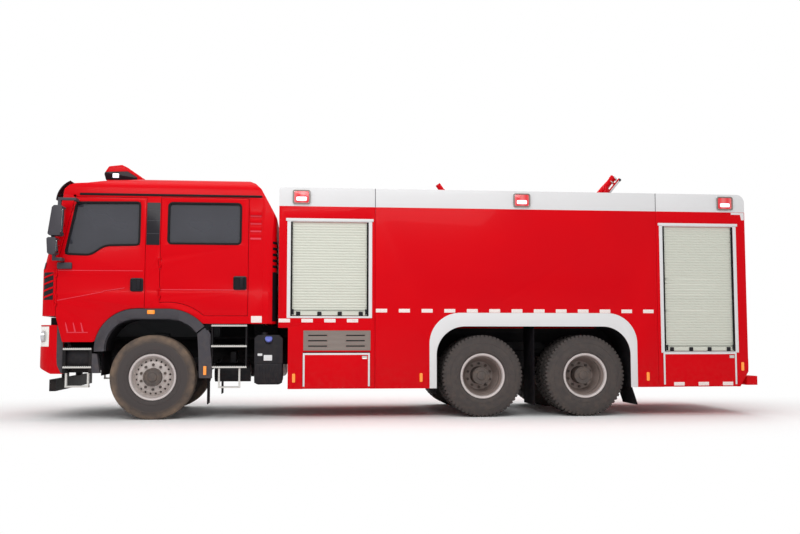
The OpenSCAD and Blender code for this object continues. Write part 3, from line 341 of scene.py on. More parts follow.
# %% [markdown]
# Flares, guards, mirrors and tanks are injection-moulded plastic. The mould leaves a pebbled grain that
# scatters light, so black looks grey under a white sky. Rubber is the same with more dust. Clay has
# dried on the shoulders of the steered tyres, so their finish also reads the distance from the hub.

# %% Plastics and rubber
def moulded(name, slot, colours, roughness, grain, dust, specular=0.5):
    """Plastic or rubber. The real pebble is about 1 mm, drawn at the given size so that it shows."""
    material, tree, place = new_finish(name, slot, roughness, Specular_IOR_Level=specular)
    patches = put(tree, "TexNoise", {"Vector": place, "Scale": per(250), "Detail": 3.0})
    pebble = put(tree, "TexNoise", {"Vector": place, "Scale": per(grain), "Detail": 1.0})
    return lay(material, patches, colours, road_dust(tree, place, DUST_ON_PLASTIC, dust), pebble, 0.6, 0.25)


black_plastic = moulded("moulded_black_plastic", "black_plastic", ("#36343a", "#424046"), 0.55, 9, 0.2,
                        0.35)
gloss_black = moulded("gloss_black_acrylic", "black_plastic", ("#1d1b20", "#252328"), 0.2, 60, 0.0, 0.15)
tank_plastic = moulded("rotomoulded_tank", "black_plastic", ("#19181c", "#201e23"), 0.45, 9, 0.08, 0.2)
seal_rubber = moulded("window_seal_rubber", "black_rubber", ("#131214", "#1a191b"), 0.6, 7, 0.0, 0.12)
flap_rubber = moulded("mud_flap_rubber", "black_rubber", ("#0d0c11", "#131116"), 0.85, 12, 0.06, 0.12)
cab_liner = moulded("cab_liner_plastic", "cab_liner", ("#47474a", "#525255"), 0.65, 8, 0.0)
cap_blue = moulded("blue_filler_cap", "black_plastic", ("#5d6bc6", "#7480d0"), 0.35, 12, 0.1)
tyre_rubber = moulded("dusty_tyre_rubber", "tyre", ("#3c3736", "#47413f"), 0.85, 6, 0.14)
dark_lens = moulded("smoked_lens", "beacon_lens", ("#1a0a12", "#230f18"), 0.12, 40, 0.0, 0.12)

steered_tyre_rubber, tree, place = new_finish("clay_dusted_tyre", "tyre", 0.85)
flat = put(tree, "VectorMath", {0: place, 1: (1.0, 0.0, 1.0)}, operation="MULTIPLY")
radius = put(tree, "VectorMath", {0: flat, 1: at(0, 0, hub_z)}, "Value", operation="DISTANCE")
shoulder = put(tree, "MapRange", {"Value": radius, "From Min": 0.43, "From Max": 0.5})
patches = put(tree, "TexNoise", {"Vector": place, "Scale": per(120), "Detail": 4.0})
patches = put(tree, "MapRange", {"Value": patches, "From Min": 0.3, "From Max": 0.7,
                                 "To Min": 0.1, "To Max": 0.75})
clay = put(tree, "Math", {0: shoulder, 1: patches}, operation="MULTIPLY")
lay(steered_tyre_rubber, clay, ("#433d3c", "#86705c"), relief=patches, depth=1.0, strength=0.2)

# %% [markdown]
# Metals differ in how they were made. Brushed sheet has grain along the truck, castings have grain in
# all directions, plated steel is bright. Painted frame rails are black with dust on them. Floor plate
# on the roof is rolled with raised pips.

# %% Metals
BRUSHED = (per(300), per(5), per(5))
CAST = (per(9), per(9), per(9))
ROLLED = (per(400), per(90), per(90))


def metal(name, slot, colours, roughness, metallic, grain, dust=0.3, specular=0.5):
    """Bare or painted metal with a grain whose size is given along each axis."""
    material, tree, place = new_finish(name, slot, roughness, metallic, Specular_IOR_Level=specular)
    stretched = put(tree, "Mapping", {"Vector": place, "Scale": grain})
    streaks = put(tree, "TexNoise", {"Vector": stretched, "Scale": 1.0, "Detail": 3.0})
    return lay(material, streaks, colours, road_dust(tree, place, DUST_ON_METAL, dust), streaks, 0.4, 0.15)


stainless = metal("brushed_stainless", "deck_aluminium", ("#8c817b", "#796f69"), 0.42, 0.5, BRUSHED)
shutter_metal = metal("anodised_slats", "shutter_aluminium", ("#cdcfc3", "#c8cabe"), 0.5, 0.1, ROLLED, 0.0)
bright_steel = metal("zinc_plated_steel", "deck_aluminium", ("#d8d6d2", "#c3c1bc"), 0.35, 0.5, BRUSHED, 0.1)
wheel_paint = metal("silver_wheel_paint", "rim_silver", ("#cdc5c1", "#b9afaa"), 0.42, 0.15, CAST, 0.25)
rim_lip = metal("polished_rim_lip", "rim_silver", ("#cfc7c5", "#bfb6b3"), 0.35, 0.2, CAST, 0.1)
# the rear wheels' discs are painted darker than the front wheel's
rear_wheel_paint = metal("darker_rear_wheel_paint", "rim_silver", ("#988a84", "#837570"), 0.5, 0.15, CAST, 0.3)
hub_iron = metal("cast_iron_hub", "rim_silver", ("#4c4646", "#5f5650"), 0.65, 0.3, CAST, 0.5)
chassis_paint = metal("black_chassis_paint", "chassis_black", ("#141316", "#1b1a1c"), 0.55, 0.0, CAST,
                      0.1, 0.15)
engine_paint = metal("grey_engine_paint", "engine_grey", ("#4a4c50", "#3f4145"), 0.6, 0.1, CAST)
chrome = metal("chrome_trim", "lamp_lens", ("#d2d2d4", "#c4c4c6"), 0.14, 0.9, CAST, 0.0)
mirror_silver = metal("silvered_mirror", "tinted_glass", ("#e2e6e8", "#dde1e4"), 0.03, 1.0, CAST, 0.0)

# rolled floor plate: raised pips 30 mm apart
deck_plate, tree, place = new_finish("aluminium_tread_plate", "deck_aluminium", 0.4, 0.6)
pips = put(tree, "TexVoronoi", {"Vector": place, "Scale": per(30), "Randomness": 0.1})
pips = put(tree, "MapRange", {"Value": pips, "From Min": 0.25, "From Max": 0.4,
                              "To Min": 1.0, "To Max": 0.0})
lay(deck_plate, pips, ("#96999c", "#babdbf"), relief=pips, depth=2.0, strength=0.5)

# %% [markdown]
# Windows are tinted glass, so dark that the cab shows only faintly. Lamp lenses are polycarbonate over
# a bright reflector: ribs in the moulding spread the light, drawn as paler bands that are a painted
# sheen, and a little glow stands for the reflector.

# %% Glass and lenses
def glass(name, slot, colour, roughness, through):
    """Tinted sheet with the faint ripple of float glass, 400 mm long."""
    material, tree, place = new_finish(name, slot, roughness, IOR=1.5, Transmission_Weight=through)
    ripple = put(tree, "TexNoise", {"Vector": place, "Scale": per(400), "Detail": 1.0})
    return lay(material, ripple, (colour, "#3d3e46"), relief=ripple, depth=1.0, strength=0.1)


side_glass = glass("tinted_side_glass", "tinted_glass", "#4b4c55", 0.05, 0.35)
screen_glass = glass("laminated_windscreen", "tinted_glass", "#626a72", 0.03, 0.7)
visor_acrylic = glass("smoked_acrylic", "visor_acrylic", "#3a2a2c", 0.08, 0.3)

# a Wave texture of scale 1 runs through 20 radians in a metre, so a wave is 2 pi times the size given
WAVE = 20


def lens(name, colour, glow, shine=0.15, coat=0.3):
    """Moulded lamp lens. Its ribs are 9 mm apart, drawn as paler bands of 113 mm so that they show: a
    painted sheen.
    """
    material, tree, place = new_finish(name, "lamp_lens", 0.15, Coat_Weight=coat, Emission_Strength=glow,
                                       Emission_Color=linear(colour))
    ribs = put(tree, "TexWave", {"Vector": place, "Scale": per(18) / WAVE}, 1, bands_direction="X")
    # the ribs mix the lens towards a pale tone: painted sheen
    light = put(tree, "Math", {0: ribs, 1: shine}, operation="MULTIPLY")
    return lay(material, light, (colour, "#f4eee8"), relief=ribs, depth=1.0, strength=0.3)


clear_lens = lens("clear_lens", "#e6e4e0", 0.15)
bright_lens = lens("lit_lens", "#e9f0ff", 0.7)
red_lens = lens("red_lens", "#d6202c", 0.15)
amber_lens = lens("amber_lens", "#f08a00", 0.25, 0.08, 0.1)

# %% [markdown]
# The rows of pale dashes are reflective tape, a film over a honeycomb of prisms. Seat covers are woven
# cloth, threads crossing at right angles.

# %% Tape and cloth
# cells of the tape are 4 mm wide, drawn at 10 mm so that they show
white_tape, tree, place = new_finish("reflective_tape", "white_paint", 0.35)
cells = put(tree, "TexVoronoi", {"Vector": place, "Scale": per(10)}, feature="DISTANCE_TO_EDGE")
cells = put(tree, "MapRange", {"Value": cells, "From Max": 0.1})
lay(white_tape, cells, ("#d9bdb9", "#f1e8e4"))

# threads of the cloth are 2 mm apart, drawn at 38 mm so that they show through the glass
seat_cloth, tree, place = new_finish("woven_seat_cloth", "seat_fabric", 0.9, Sheen_Weight=0.4)
warp = put(tree, "TexWave", {"Vector": place, "Scale": per(6) / WAVE}, 1, bands_direction="Y")
weft = put(tree, "TexWave", {"Vector": place, "Scale": per(6) / WAVE}, 1, bands_direction="X")
weave = put(tree, "Math", {0: warp, 1: weft}, operation="MULTIPLY")
lay(seat_cloth, weave, ("#26292f", "#3b3f48"), relief=weave, depth=0.8, strength=0.4)

# %% [markdown]
# ## Dressing the solids
# Sheet metal never ends in a knife edge: pressed panels turn over a few millimetres. A copy of each
# solid is merged, its flat faces are joined, its edges get a small bevel and it is shaded smooth except
# at sharp corners. The copy then stands for the solid, on the same body.

# %% Selection helpers
# points closer than this are one, in millimetres: of a drawn piece and of a solid
WELD, SOLID_WELD = 0.01, 0.02
# degrees: faces flatter than this are joined, edges sharper are rounded, edges blunter are shaded smooth
FLAT, SHARP, SMOOTH = 0.8, 35, 38


def rest_selection():
    """Back to object mode with nothing selected."""
    if bpy.context.mode != "OBJECT":
        bpy.ops.object.mode_set(mode="OBJECT")
    bpy.ops.object.select_all(action="DESELECT")


def only(piece):
    """Selects one piece and makes it active."""
    rest_selection()
    piece.select_set(True)
    bpy.context.view_layer.objects.active = piece


def editing(piece):
    """Edit mode on one piece with all of it selected."""
    only(piece)
    bpy.ops.object.mode_set(mode="EDIT")
    bpy.ops.mesh.select_mode(type="VERT")
    bpy.ops.mesh.select_all(action="SELECT")


def pick(piece, test):
    """Edit mode with only the faces selected whose centre and normal pass a test."""
    editing(piece)
    bpy.ops.mesh.select_mode(type="FACE")
    bpy.ops.mesh.select_all(action="DESELECT")
    bpy.ops.object.mode_set(mode="OBJECT")
    for face in piece.data.polygons:
        face.select = test(face.center, face.normal)
    bpy.ops.object.mode_set(mode="EDIT")


def close_up(piece):
    """Merges doubles and turns the faces outwards."""
    editing(piece)
    bpy.ops.mesh.remove_doubles(threshold=WELD * MM)
    bpy.ops.mesh.normals_make_consistent(inside=False)
    rest_selection()


# %% Finishing helpers
def round_edges(piece, width, steps=2):
    """Rounds the sharp edges."""
    only(piece)
    modifier = piece.modifiers.new("edges", "BEVEL")
    modifier.width = width * MM
    modifier.segments = steps
    modifier.limit_method = "ANGLE"
    modifier.angle_limit = math.radians(SHARP)
    bpy.ops.object.modifier_apply(modifier=modifier.name)


def fit(piece, body, *finishes):
    """Gives a piece its finishes and smooth shading, and sets it on its body."""
    piece.data.materials.clear()
    for finish in finishes:
        piece.data.materials.append(finish)
    only(piece)
    bpy.ops.object.shade_smooth_by_angle(angle=math.radians(SMOOTH))
    rest_selection()
    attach(piece, body)
    return piece


def repaint(piece, index, test):
    """Gives another finish to the faces whose place on the drawing and normal pass a test."""
    for face in piece.data.polygons:
        if test((face.center - at(0, 0, 0)) / MM, face.normal):
            face.material_index = index


def dress(node, *finishes, edge=5, steps=2):
    """A rounded, painted copy that stands for a solid."""
    piece = bpy.data.objects.new(node + "_dressed", nodes[node].data.copy())
    scene.collection.objects.link(piece)
    editing(piece)
    bpy.ops.mesh.remove_doubles(threshold=SOLID_WELD * MM)
    bpy.ops.mesh.dissolve_limited(angle_limit=math.radians(FLAT))
    rest_selection()
    if edge:
        round_edges(piece, edge, steps)
    fit(piece, body_of_node[node], *finishes)
    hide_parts(node)
    return piece


# %% [markdown]
# The red panels come first: bumper, body modules, flaps and the cab. The wheel houses of the tank
# module are black inside.

# %% Red panels
DOORS = ["front_left", "rear_left", "front_right", "rear_right"]
for node in ["body_front", "body_rear", "bumpers"]:
    dress(node, red_enamel)
tank_module = dress("body_tank", red_enamel, flap_rubber)
ARCH_REACH, ARCH_RISE = 680, 820
arch_ends = rear_axles[1] - ARCH_REACH, rear_axles[0] + ARCH_REACH
arch_top = reach("body_tank")[2][0] + ARCH_RISE
# faces inside the wheel houses get the black rubber finish
repaint(tank_module, 1,
        lambda c, n: abs(n.y) < 0.9 and arch_ends[0] < c.x < arch_ends[1] and c.z < arch_top)
for node in ["cab_front", "cab_roof", "cab_back", "cab_sides"]:
    dress(node, red_enamel)
for door in DOORS:
    dress("door_" + door, red_enamel)
    dress("flap_" + door, red_enamel, edge=3)
print("red panels dressed")

# %% [markdown]
# The other solids follow with their own finishes. Where one solid has two, the second goes to the faces
# in one stretch of the truck: the ladder and stirrups of the steps are zinc-plated, the tank on the
# right is bright, the riser of the monitor is red on a bare deck.

# %% Plastic, deck and chassis
FLARE_LIP = 60
RUBBER_BELOW, RUBBER_BEHIND = 530, -2000
STIRRUP_TOP = 560
FUEL_TANK_Y, FUEL_TANK_X = -700, -1240
LOUVRE_PLATE = 870, 1150
GEARBOX_FRONT = -1200
dress("roof_parapet", white_enamel, edge=8, steps=3)
arches = dress("cab_arches", black_plastic, flap_rubber, edge=8, steps=3)
repaint(arches, 1, lambda c, n: abs(c.y) < half_cab - FLARE_LIP)
guards = dress("mudguards", black_plastic, flap_rubber)
repaint(guards, 1, lambda c, n: c.z < RUBBER_BELOW or c.x < RUBBER_BEHIND)
steps = dress("steps", chassis_paint, bright_steel, edge=3)
repaint(steps, 1, lambda c, n: c.x < body_back + 10 or c.z < STIRRUP_TOP)
tanks = dress("tanks", tank_plastic, bright_steel, edge=14, steps=3)
repaint(tanks, 1, lambda c, n: c.y < FUEL_TANK_Y and c.x < FUEL_TANK_X)
deck = dress("roof_deck", deck_plate, red_enamel, edge=3)
gun_x = sum(reach("monitor_turret")[0]) / 2
repaint(deck, 1, lambda c, n: c.z > band_low + 30 and (c.x < gun_x + 200 or c.y > 240))
trims = dress("body_trims", white_enamel, stainless, edge=2)
repaint(trims, 1, lambda c, n: c.x > seam_front + 20 and LOUVRE_PLATE[0] < c.z < LOUVRE_PLATE[1])
for node in ["monitor_turret", "monitor_barrel", "tank_lid"]:
    dress(node, red_enamel, edge=4)
for node in ["frame", "axles", "springs", "knuckle_left", "knuckle_right"]:
    dress(node, chassis_paint, edge=0)
powertrain = dress("powertrain", engine_paint, chassis_paint, edge=8)
repaint(powertrain, 1, lambda c, n: c.x < GEARBOX_FRONT)
dress("shutters", shutter_metal, edge=0)
print("deck, trims and chassis dressed")

# %% [markdown]
# The cab tips about a pin through eyes under its floor. A greased bush has some play, so the eyes are
# opened by half a millimetre; the facets of pin and eye then pass each other when the cab is tipped.

# %% Cab fittings
floor_pan = dress("cab_floor", cab_liner)
TILT_PIN = at(1250, 0, 950)
PIN_RADIUS, PLAY = 25, 0.5
in_eye = (PIN_RADIUS + 1) * MM
pick(floor_pan,
     lambda c, n: abs(n.y) < 0.5 and math.hypot(c.x - TILT_PIN.x, c.z - TILT_PIN.z) < in_eye)
bpy.ops.transform.shrink_fatten(value=-PLAY * MM)
rest_selection()
dress("dashboard", cab_liner, edge=6)
dress("windscreen", screen_glass, edge=0)
dress("sun_visor", visor_acrylic, edge=0)
dress("light_bar", red_enamel, edge=14, steps=3)
for door in DOORS:
    dress("glass_" + door, side_glass, edge=0)
for side in ("left", "right"):
    dress("mirror_" + side, black_plastic, edge=20, steps=3)
print("cab fittings dressed")

# %% [markdown]
# ## Modelling helpers
# Small pieces are drawn as by hand. An outline is one vertex extruded from point to point and filled; a
# plate is an outline pulled out to a thickness; a ring is an outline inset and opened; a turned piece is
# a half-section spun about its axle; a bar is a chain of edges given a round section. A piece for the
# left side is mirrored for the right.

# %% Outline, plate and ring
def chain(name, points):
    """Edges drawn from point to point, left in edit mode with all of it selected."""
    rest_selection()
    bpy.ops.mesh.primitive_plane_add(size=0.01, location=points[0])
    piece = bpy.context.active_object
    piece.name = name
    bpy.ops.object.transform_apply(location=True, rotation=False, scale=False)
    editing(piece)
    bpy.ops.mesh.merge(type="CENTER")
    for here, there in zip(points, points[1:]):
        bpy.ops.mesh.extrude_vertices_move(TRANSFORM_OT_translate={"value": there - here})
    bpy.ops.mesh.select_all(action="SELECT")
    return piece


def outline(name, points, corner):
    """A filled face with rounded corners, left in edit mode."""
    piece = chain(name, points)
    bpy.ops.mesh.edge_face_add()
    if corner:
        bpy.ops.mesh.bevel(offset=corner * MM, segments=4, affect="VERTICES")
    return piece


def thicken(piece, push, edge):
    """Pulls the selected faces out to a thickness and rounds the edges."""
    bpy.ops.mesh.extrude_region_move(TRANSFORM_OT_translate={"value": push})
    close_up(piece)
    if edge:
        round_edges(piece, edge)
    return piece


def plate(name, points, push, corner=0, edge=1.5):
    """A flat piece with a thickness."""
    return thicken(outline(name, points, corner), push, edge)


def ring(name, points, width, push, corner=0, edge=1.5):
    """A flat frame with a thickness, open in the middle."""
    piece = outline(name, points, corner)
    bpy.ops.mesh.inset(thickness=width * MM, depth=0)
    bpy.ops.mesh.delete(type="FACE")
    bpy.ops.mesh.select_all(action="SELECT")
    return thicken(piece, push, edge)


# %% Block, turned piece and bar
def block(name, x, y, z, edge=4, steps=2):
    """A box between limits on the drawing, its edges rounded."""
    low, high = at(x[0], y[0], z[0]), at(x[1], y[1], z[1])
    rest_selection()
    bpy.ops.mesh.primitive_cube_add(size=1, location=(low + high) / 2)
    piece = bpy.context.active_object
    piece.name = name
    piece.scale = [abs(v) for v in high - low]
    bpy.ops.object.transform_apply(location=True, rotation=True, scale=True)
    editing(piece)
    bpy.ops.mesh.bevel(offset=edge * MM, segments=steps, affect="EDGES")
    rest_selection()
    return piece


def turned(name, profile, centre, axle=OUT, steps=48):
    """A lathe piece: points of radius and distance along the axle, spun all round."""
    across = axle.orthogonal().normalized()
    piece = chain(name, [centre + across * r * MM + axle * d * MM for r, d in profile])
    bpy.ops.mesh.spin(steps=steps, angle=2 * math.pi, center=centre, axis=axle)
    close_up(piece)
    return piece


def bar(name, points, radius):
    """A round bar through points."""
    piece = chain(name, points)
    only(piece)
    bpy.ops.object.convert(target="CURVE")
    piece = bpy.context.active_object
    piece.data.bevel_depth = radius * MM
    piece.data.bevel_resolution = 3
    piece.data.use_fill_caps = True
    bpy.ops.object.convert(target="MESH")
    close_up(piece)
    return piece


# %% Copies
def copy_of(piece, name, shift=(0, 0, 0), mirror=False):
    """A copy with its own mesh, moved by millimetres or mirrored to the other side."""
    other = bpy.data.objects.new(name, piece.data.copy())
    scene.collection.objects.link(other)
    editing(other)
    if mirror:
        bpy.ops.transform.resize(value=(1, -1, 1), center_override=(0, 0, 0))
        bpy.ops.mesh.normals_make_consistent(inside=False)
    bpy.ops.transform.translate(value=Vector(shift) * MM)
    rest_selection()
    return other


def joined(name, pieces):
    """Several pieces made one."""
    rest_selection()
    for piece in pieces:
        piece.select_set(True)
    bpy.context.view_layer.objects.active = pieces[0]
    bpy.ops.object.join()
    pieces[0].name = name
    rest_selection()
    return pieces[0]


def fit_pair(piece, body, *finishes):
    """Fits a left-hand piece, and its mirror image on the right."""
    other = copy_of(piece, piece.name.replace("left", "right"), mirror=True)
    fit(other, body.replace("left", "right"), *finishes)
    fit(piece, body, *finishes)
    return piece, other


# %% Plates on the sides
def side_points(points, y):
    """Drawing points of X and Z at one distance from the middle plane."""
    return [at(x, y, z) for x, z in points]


def skin_points(points, proud):
    """Drawing points of X and Z laid on the cab's side, standing proud of it."""
    return [at(x, skin_y(z) + proud, z) for x, z in points]


def corners(x, z):
    """The four corners of an upright rectangle."""
    return [(x[0], z[0]), (x[1], z[0]), (x[1], z[1]), (x[0], z[1])]


def side_plate(name, points, y, thick, corner=0, edge=1.5):
    """An upright plate along the truck, from Y outwards."""
    return plate(name, side_points(points, y), OUT * thick * MM, corner, edge)


def skin_plate(name, points, proud, thick, corner=0, edge=1.5):
    """A plate laid on the cab's side."""
    return plate(name, skin_points(points, proud), OUT * thick * MM, corner, edge)


print("helpers ready")

# %% [markdown]
# ## Tyres
# A radial truck tyre is a band of rubber with a flat tread, bulged sidewalls and moulded rings near the
# rim. It could be sculpted from a torus; spinning its half-section is exact and keeps the bead on the
# rim. The steered tyres have ribs, cut by four grooves. The driven ones have blocks with deep notches
# at the shoulder, so one block is drawn and spun round.

# %% Tyre section
BEAD = 286
TYRE_RADIUS = (front_tyre[1].z - front_tyre[0].z) / 2 / MM
TYRE_HALF = (front_tyre[1].y - front_tyre[0].y) / 2 / MM
GROOVES = (0.46, 0.16, -0.16, -0.46)
GROOVE_DEPTH = 13
# height over the bead, or depth under the crown, and share of the half width
SIDEWALL = [(0, 0.78), (16, 0.79), (24, 0.88), (44, 0.975), (60, 0.98), (63, 1.0), (72, 1.0), (75, 0.98),
            (120, 0.995)]
SHOULDER = [(94, 0.965), (90, 0.985), (82, 0.955), (40, 0.89), (18, 0.84), (6, 0.79), (0, 0.72)]


def tyre_section(crown, grooves):
    """Closed section: sidewall rings, shoulder, tread, and back down the other side."""
    side = [(BEAD + r, s) for r, s in SIDEWALL] + [(crown - r, s) for r, s in SHOULDER]
    right = [(r, s * TYRE_HALF) for r, s in side]
    tread = []
    for y in [groove * TYRE_HALF for groove in grooves]:
        low = crown - GROOVE_DEPTH
        tread += [(crown, y + 6), (low, y + 4), (low, y - 4), (crown, y - 6)]
    left = [(r, -y) for r, y in reversed(right)]
    return right + tread + left + right[:1]


def spun_copies(piece, count, centre):
    """Repeats a piece round an axle along Y."""
    editing(piece)
    bpy.ops.mesh.spin(steps=count - 1, dupli=True, angle=2 * math.pi * (count - 1) / count, center=centre,
                      axis=OUT)
    rest_selection()
    return piece


# %% Steered tyres
TYRE_STEPS = 80
front_hub = at(0, sum(reach("tyre_front_left")[1]) / 2, hub_z)
rib_section = tyre_section(TYRE_RADIUS, GROOVES)
rib_tyre = turned("tyre_front_left_dressed", rib_section, front_hub, steps=TYRE_STEPS)
for piece, side in zip(fit_pair(rib_tyre, "front_left_wheel", steered_tyre_rubber), ("left", "right")):
    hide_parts("tyre_front_" + side)
print("steered tyre faces:", len(rib_tyre.data.polygons))

# %% Driven tyres
twin_y = reach("tyres_rear1_left")[1]
TWIN_PITCH = (twin_y[1] - twin_y[0]) - 2 * TYRE_HALF
TREAD_DEPTH = 15
BLOCKS = 60
BLOCK_PITCH = 2 * math.pi * TYRE_RADIUS / BLOCKS
# share of the half width, and depth under the crown
SHOULDER_BLOCK = [(0.4, 18), (0.4, 1), (0.74, 1), (0.83, 16), (0.9, 48), (0.84, 54), (0.74, 22)]
MIDDLE_BLOCK = [(0.05, 18), (0.05, 1), (0.33, 1), (0.33, 18)]
outer_y = twin_y[1] - TYRE_HALF
rear_hub = at(rear_axles[0], outer_y, hub_z)


def tread_blocks(name, section, half_length, turn):
    """A block on top of the tyre, its section pulled along the rolling direction, then spun round."""
    points = [rear_hub + Vector((-half_length, s * TYRE_HALF, TYRE_RADIUS - d)) * MM for s, d in section]
    piece = plate(name, points, AHEAD * 2 * half_length * MM, edge=0)
    editing(piece)
    bpy.ops.transform.rotate(value=turn, orient_axis="Y", center_override=rear_hub)
    return spun_copies(piece, BLOCKS, rear_hub)


parts = [turned("drive_carcass", tyre_section(TYRE_RADIUS - TREAD_DEPTH, ()), rear_hub, steps=TYRE_STEPS)]
for sign in (1, -1):
    for name, section, share, turn in (("shoulder_blocks", SHOULDER_BLOCK, 0.28, 0.0),
                                       ("middle_blocks", MIDDLE_BLOCK, 0.4, math.pi / BLOCKS)):
        section = [(s * sign, d) for s, d in section]
        parts.append(tread_blocks(name, section, BLOCK_PITCH * share, turn))
drive_tyre = joined("drive_tyre", parts)
inner_tyre = copy_of(drive_tyre, "inner_tyre", (0, -TWIN_PITCH, 0))
twin_tyres = joined("tyres_rear1_left_dressed", [drive_tyre, inner_tyre])
second_axle = copy_of(twin_tyres, "tyres_rear2_left_dressed", (rear_axles[1] - rear_axles[0], 0, 0))
for axle, piece in ((1, twin_tyres), (2, second_axle)):
    for one, side in zip(fit_pair(piece, "rear%d_left_wheels" % axle, tyre_rubber), ("left", "right")):
        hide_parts("tyres_rear%d_%s" % (axle, side))
print("driven tyre pair faces:", len(twin_tyres.data.polygons))

# %% [markdown]
# ## Wheels
# The rims and discs are pressed steel in silver paint, the hubs are cast iron. On top of the solids go
# the ten nuts of each disc, a hexagon with a stud in it, and the small bolts round the hub's cover.

# %% Nuts, hub covers and hub paint
def nut_ring(name, centre, radius, count, size, height):
    """Hexagon nuts with their studs in a ring, facing outwards on the left."""
    rest_selection()
    place = centre + Vector((0, height / 2 * MM, radius * MM))
    bpy.ops.mesh.primitive_cylinder_add(vertices=6, radius=size * MM, depth=height * MM, location=place,
                                        rotation=(math.pi / 2, 0, 0))
    piece = bpy.context.active_object
    piece.name = name
    bpy.ops.object.transform_apply(location=True, rotation=True, scale=True)
    pick(piece, lambda c, n: n.y > 0.9)
    bpy.ops.mesh.inset(thickness=size * 0.4 * MM, depth=0)
    bpy.ops.mesh.extrude_region_move(TRANSFORM_OT_translate={"value": OUT * height * 0.5 * MM})
    rest_selection()
    return spun_copies(piece, count, centre)


def hub_cover(name, centre, radius):
    """Turned cover on the end of a hub: a rim, a recess and a domed middle."""
    profile = [(radius, -30), (radius, -2), (radius - 4, 3), (radius - 20, 3), (radius - 24, -2), (62, -2),
               (56, 10), (40, 14), (0, 15)]
    cover = turned(name, profile, centre)
    bolts = nut_ring(name + "_bolts", centre + OUT * 2 * MM, radius - 12, 12, 7, 6)
    return joined(name, [cover, bolts])


HUB_RADIUS = 118


def repaint_hub(piece):
    """Cast iron on the faces that lie wholly near the axle."""
    vertices = piece.data.vertices
    for face in piece.data.polygons:
        x = (face.center.x - axle_x) / MM
        hub = at(min([0] + rear_axles, key=lambda a: abs(a - x)), 0, hub_z)
        spots = [vertices[i].co - hub for i in face.vertices]
        if max(math.hypot(spot.x, spot.z) for spot in spots) < (HUB_RADIUS + 6) * MM:
            face.material_index = 1


for node in ["wheel_front", "wheels_rear1", "wheels_rear2"]:
    for side in ("left", "right"):
        paint = wheel_paint if node == "wheel_front" else rear_wheel_paint
        repaint_hub(dress(node + "_" + side, paint, hub_iron, edge=2))
print("wheel solids dressed")

# %% Each wheel's nuts, cover and rim lip
NUT_CIRCLE, NUTS, NUT_SIZE, NUT_HEIGHT = 160, 10, 18, 24
DISC_FACE_FRONT = 68
DISC_FACE_REAR, HUB_END_REAR = 16, 200
LIP = [(262, 104), (268, 118), (274, 127), (280, 131), (294, 131), (300, 126), (299, 118), (274, 112),
       (262, 98), (262, 104)]
DRUM = [(120, 18), (226, 18), (236, 8), (236, -80), (222, -80), (222, 2), (120, 2), (120, 18)]
twin_middle = outer_y - TWIN_PITCH / 2
# name, body, centre of the disc's face, end of the hub, centre of the outer tyre
WHEELS = [("front_left", "front_left_wheel", front_hub + OUT * DISC_FACE_FRONT * MM,
           at(0, reach("wheel_front_left")[1][1], hub_z), front_hub)]
for axle, x in enumerate(rear_axles, 1):
    WHEELS.append(("rear%d_left" % axle, "rear%d_left_wheels" % axle,
                   at(x, twin_middle + DISC_FACE_REAR, hub_z), at(x, twin_middle + HUB_END_REAR, hub_z),
                   at(x, outer_y, hub_z)))
for name, body, disc, hub_end, tyre_middle in WHEELS:
    nuts = nut_ring("wheel_nuts_" + name, disc, NUT_CIRCLE, NUTS, NUT_SIZE, NUT_HEIGHT)
    fit_pair(nuts, body, hub_iron)
    fit_pair(hub_cover("hub_cover_" + name, hub_end, HUB_RADIUS), body, hub_iron)
    fit_pair(turned("rim_lip_" + name, LIP, tyre_middle, steps=72), body, rim_lip)
fit_pair(turned("brake_drum_front_left", DRUM, front_hub), "front_left_wheel", hub_iron)
print("wheels fitted")

# %% [markdown]
# ## Windows and pillars
# Each side window sits in a black rubber seal with rounded corners. The pillar between the doors is
# covered by a gloss black panel, and a black drip gutter runs along the roof's edge. They are laid on
# the leaning skin with the formulas above.

# %% Seals, pillar and gutter
FRONT_WINDOW = [(1122, 2106), (996, 2803), (177, 2814), (172, 2231), (612, 2221), (790, 2096)]
REAR_WINDOW = corners((-1117, -165), (2253, 2813))
SEAL_WIDTH, SEAL_SUNK, SEAL_THICK, SEAL_CORNER = 26, -14, 20, 58
for row, window in (("front", FRONT_WINDOW), ("rear", REAR_WINDOW)):
    seal = ring("window_seal_%s_left" % row, skin_points(window, SEAL_SUNK), SEAL_WIDTH,
                OUT * SEAL_THICK * MM, corner=SEAL_CORNER)
    fit_pair(seal, row + "_left_door", seal_rubber)

PILLAR = corners((-70, 100), (2244, 2800))
fit_pair(skin_plate("pillar_panel_left", PILLAR, -1, 6, corner=8), "cab", gloss_black)
for height in (2390, 2560, 2700):
    line = corners((-64, 94), (height, height + 5))
    fit_pair(skin_plate("pillar_line_left_%d" % height, line, 4, 2, edge=0.5), "cab", black_plastic)
gutter = block("drip_gutter_left", (-1373, 955), (1172, 1198), (2886, 2916), edge=7, steps=3)
fit_pair(gutter, "cab", seal_rubber)
print("seals, pillar panels and gutters fitted")

# %% [markdown]
# ## Door furniture
# A truck door has a dished handle cup with a grip across it, a diagonal crease that stiffens the skin
# and three short pressings above the sill. The cup is a plate whose face is inset and pushed in. The
# edges of creases and pressings catch the light, so thin strips in a paler red stand for them as
# painted highlights.

# %% Handles
CUP_RIM, CUP_DEPTH = 16, 9
GRIP_HALF, GRIP_SHARE = 24, 0.38


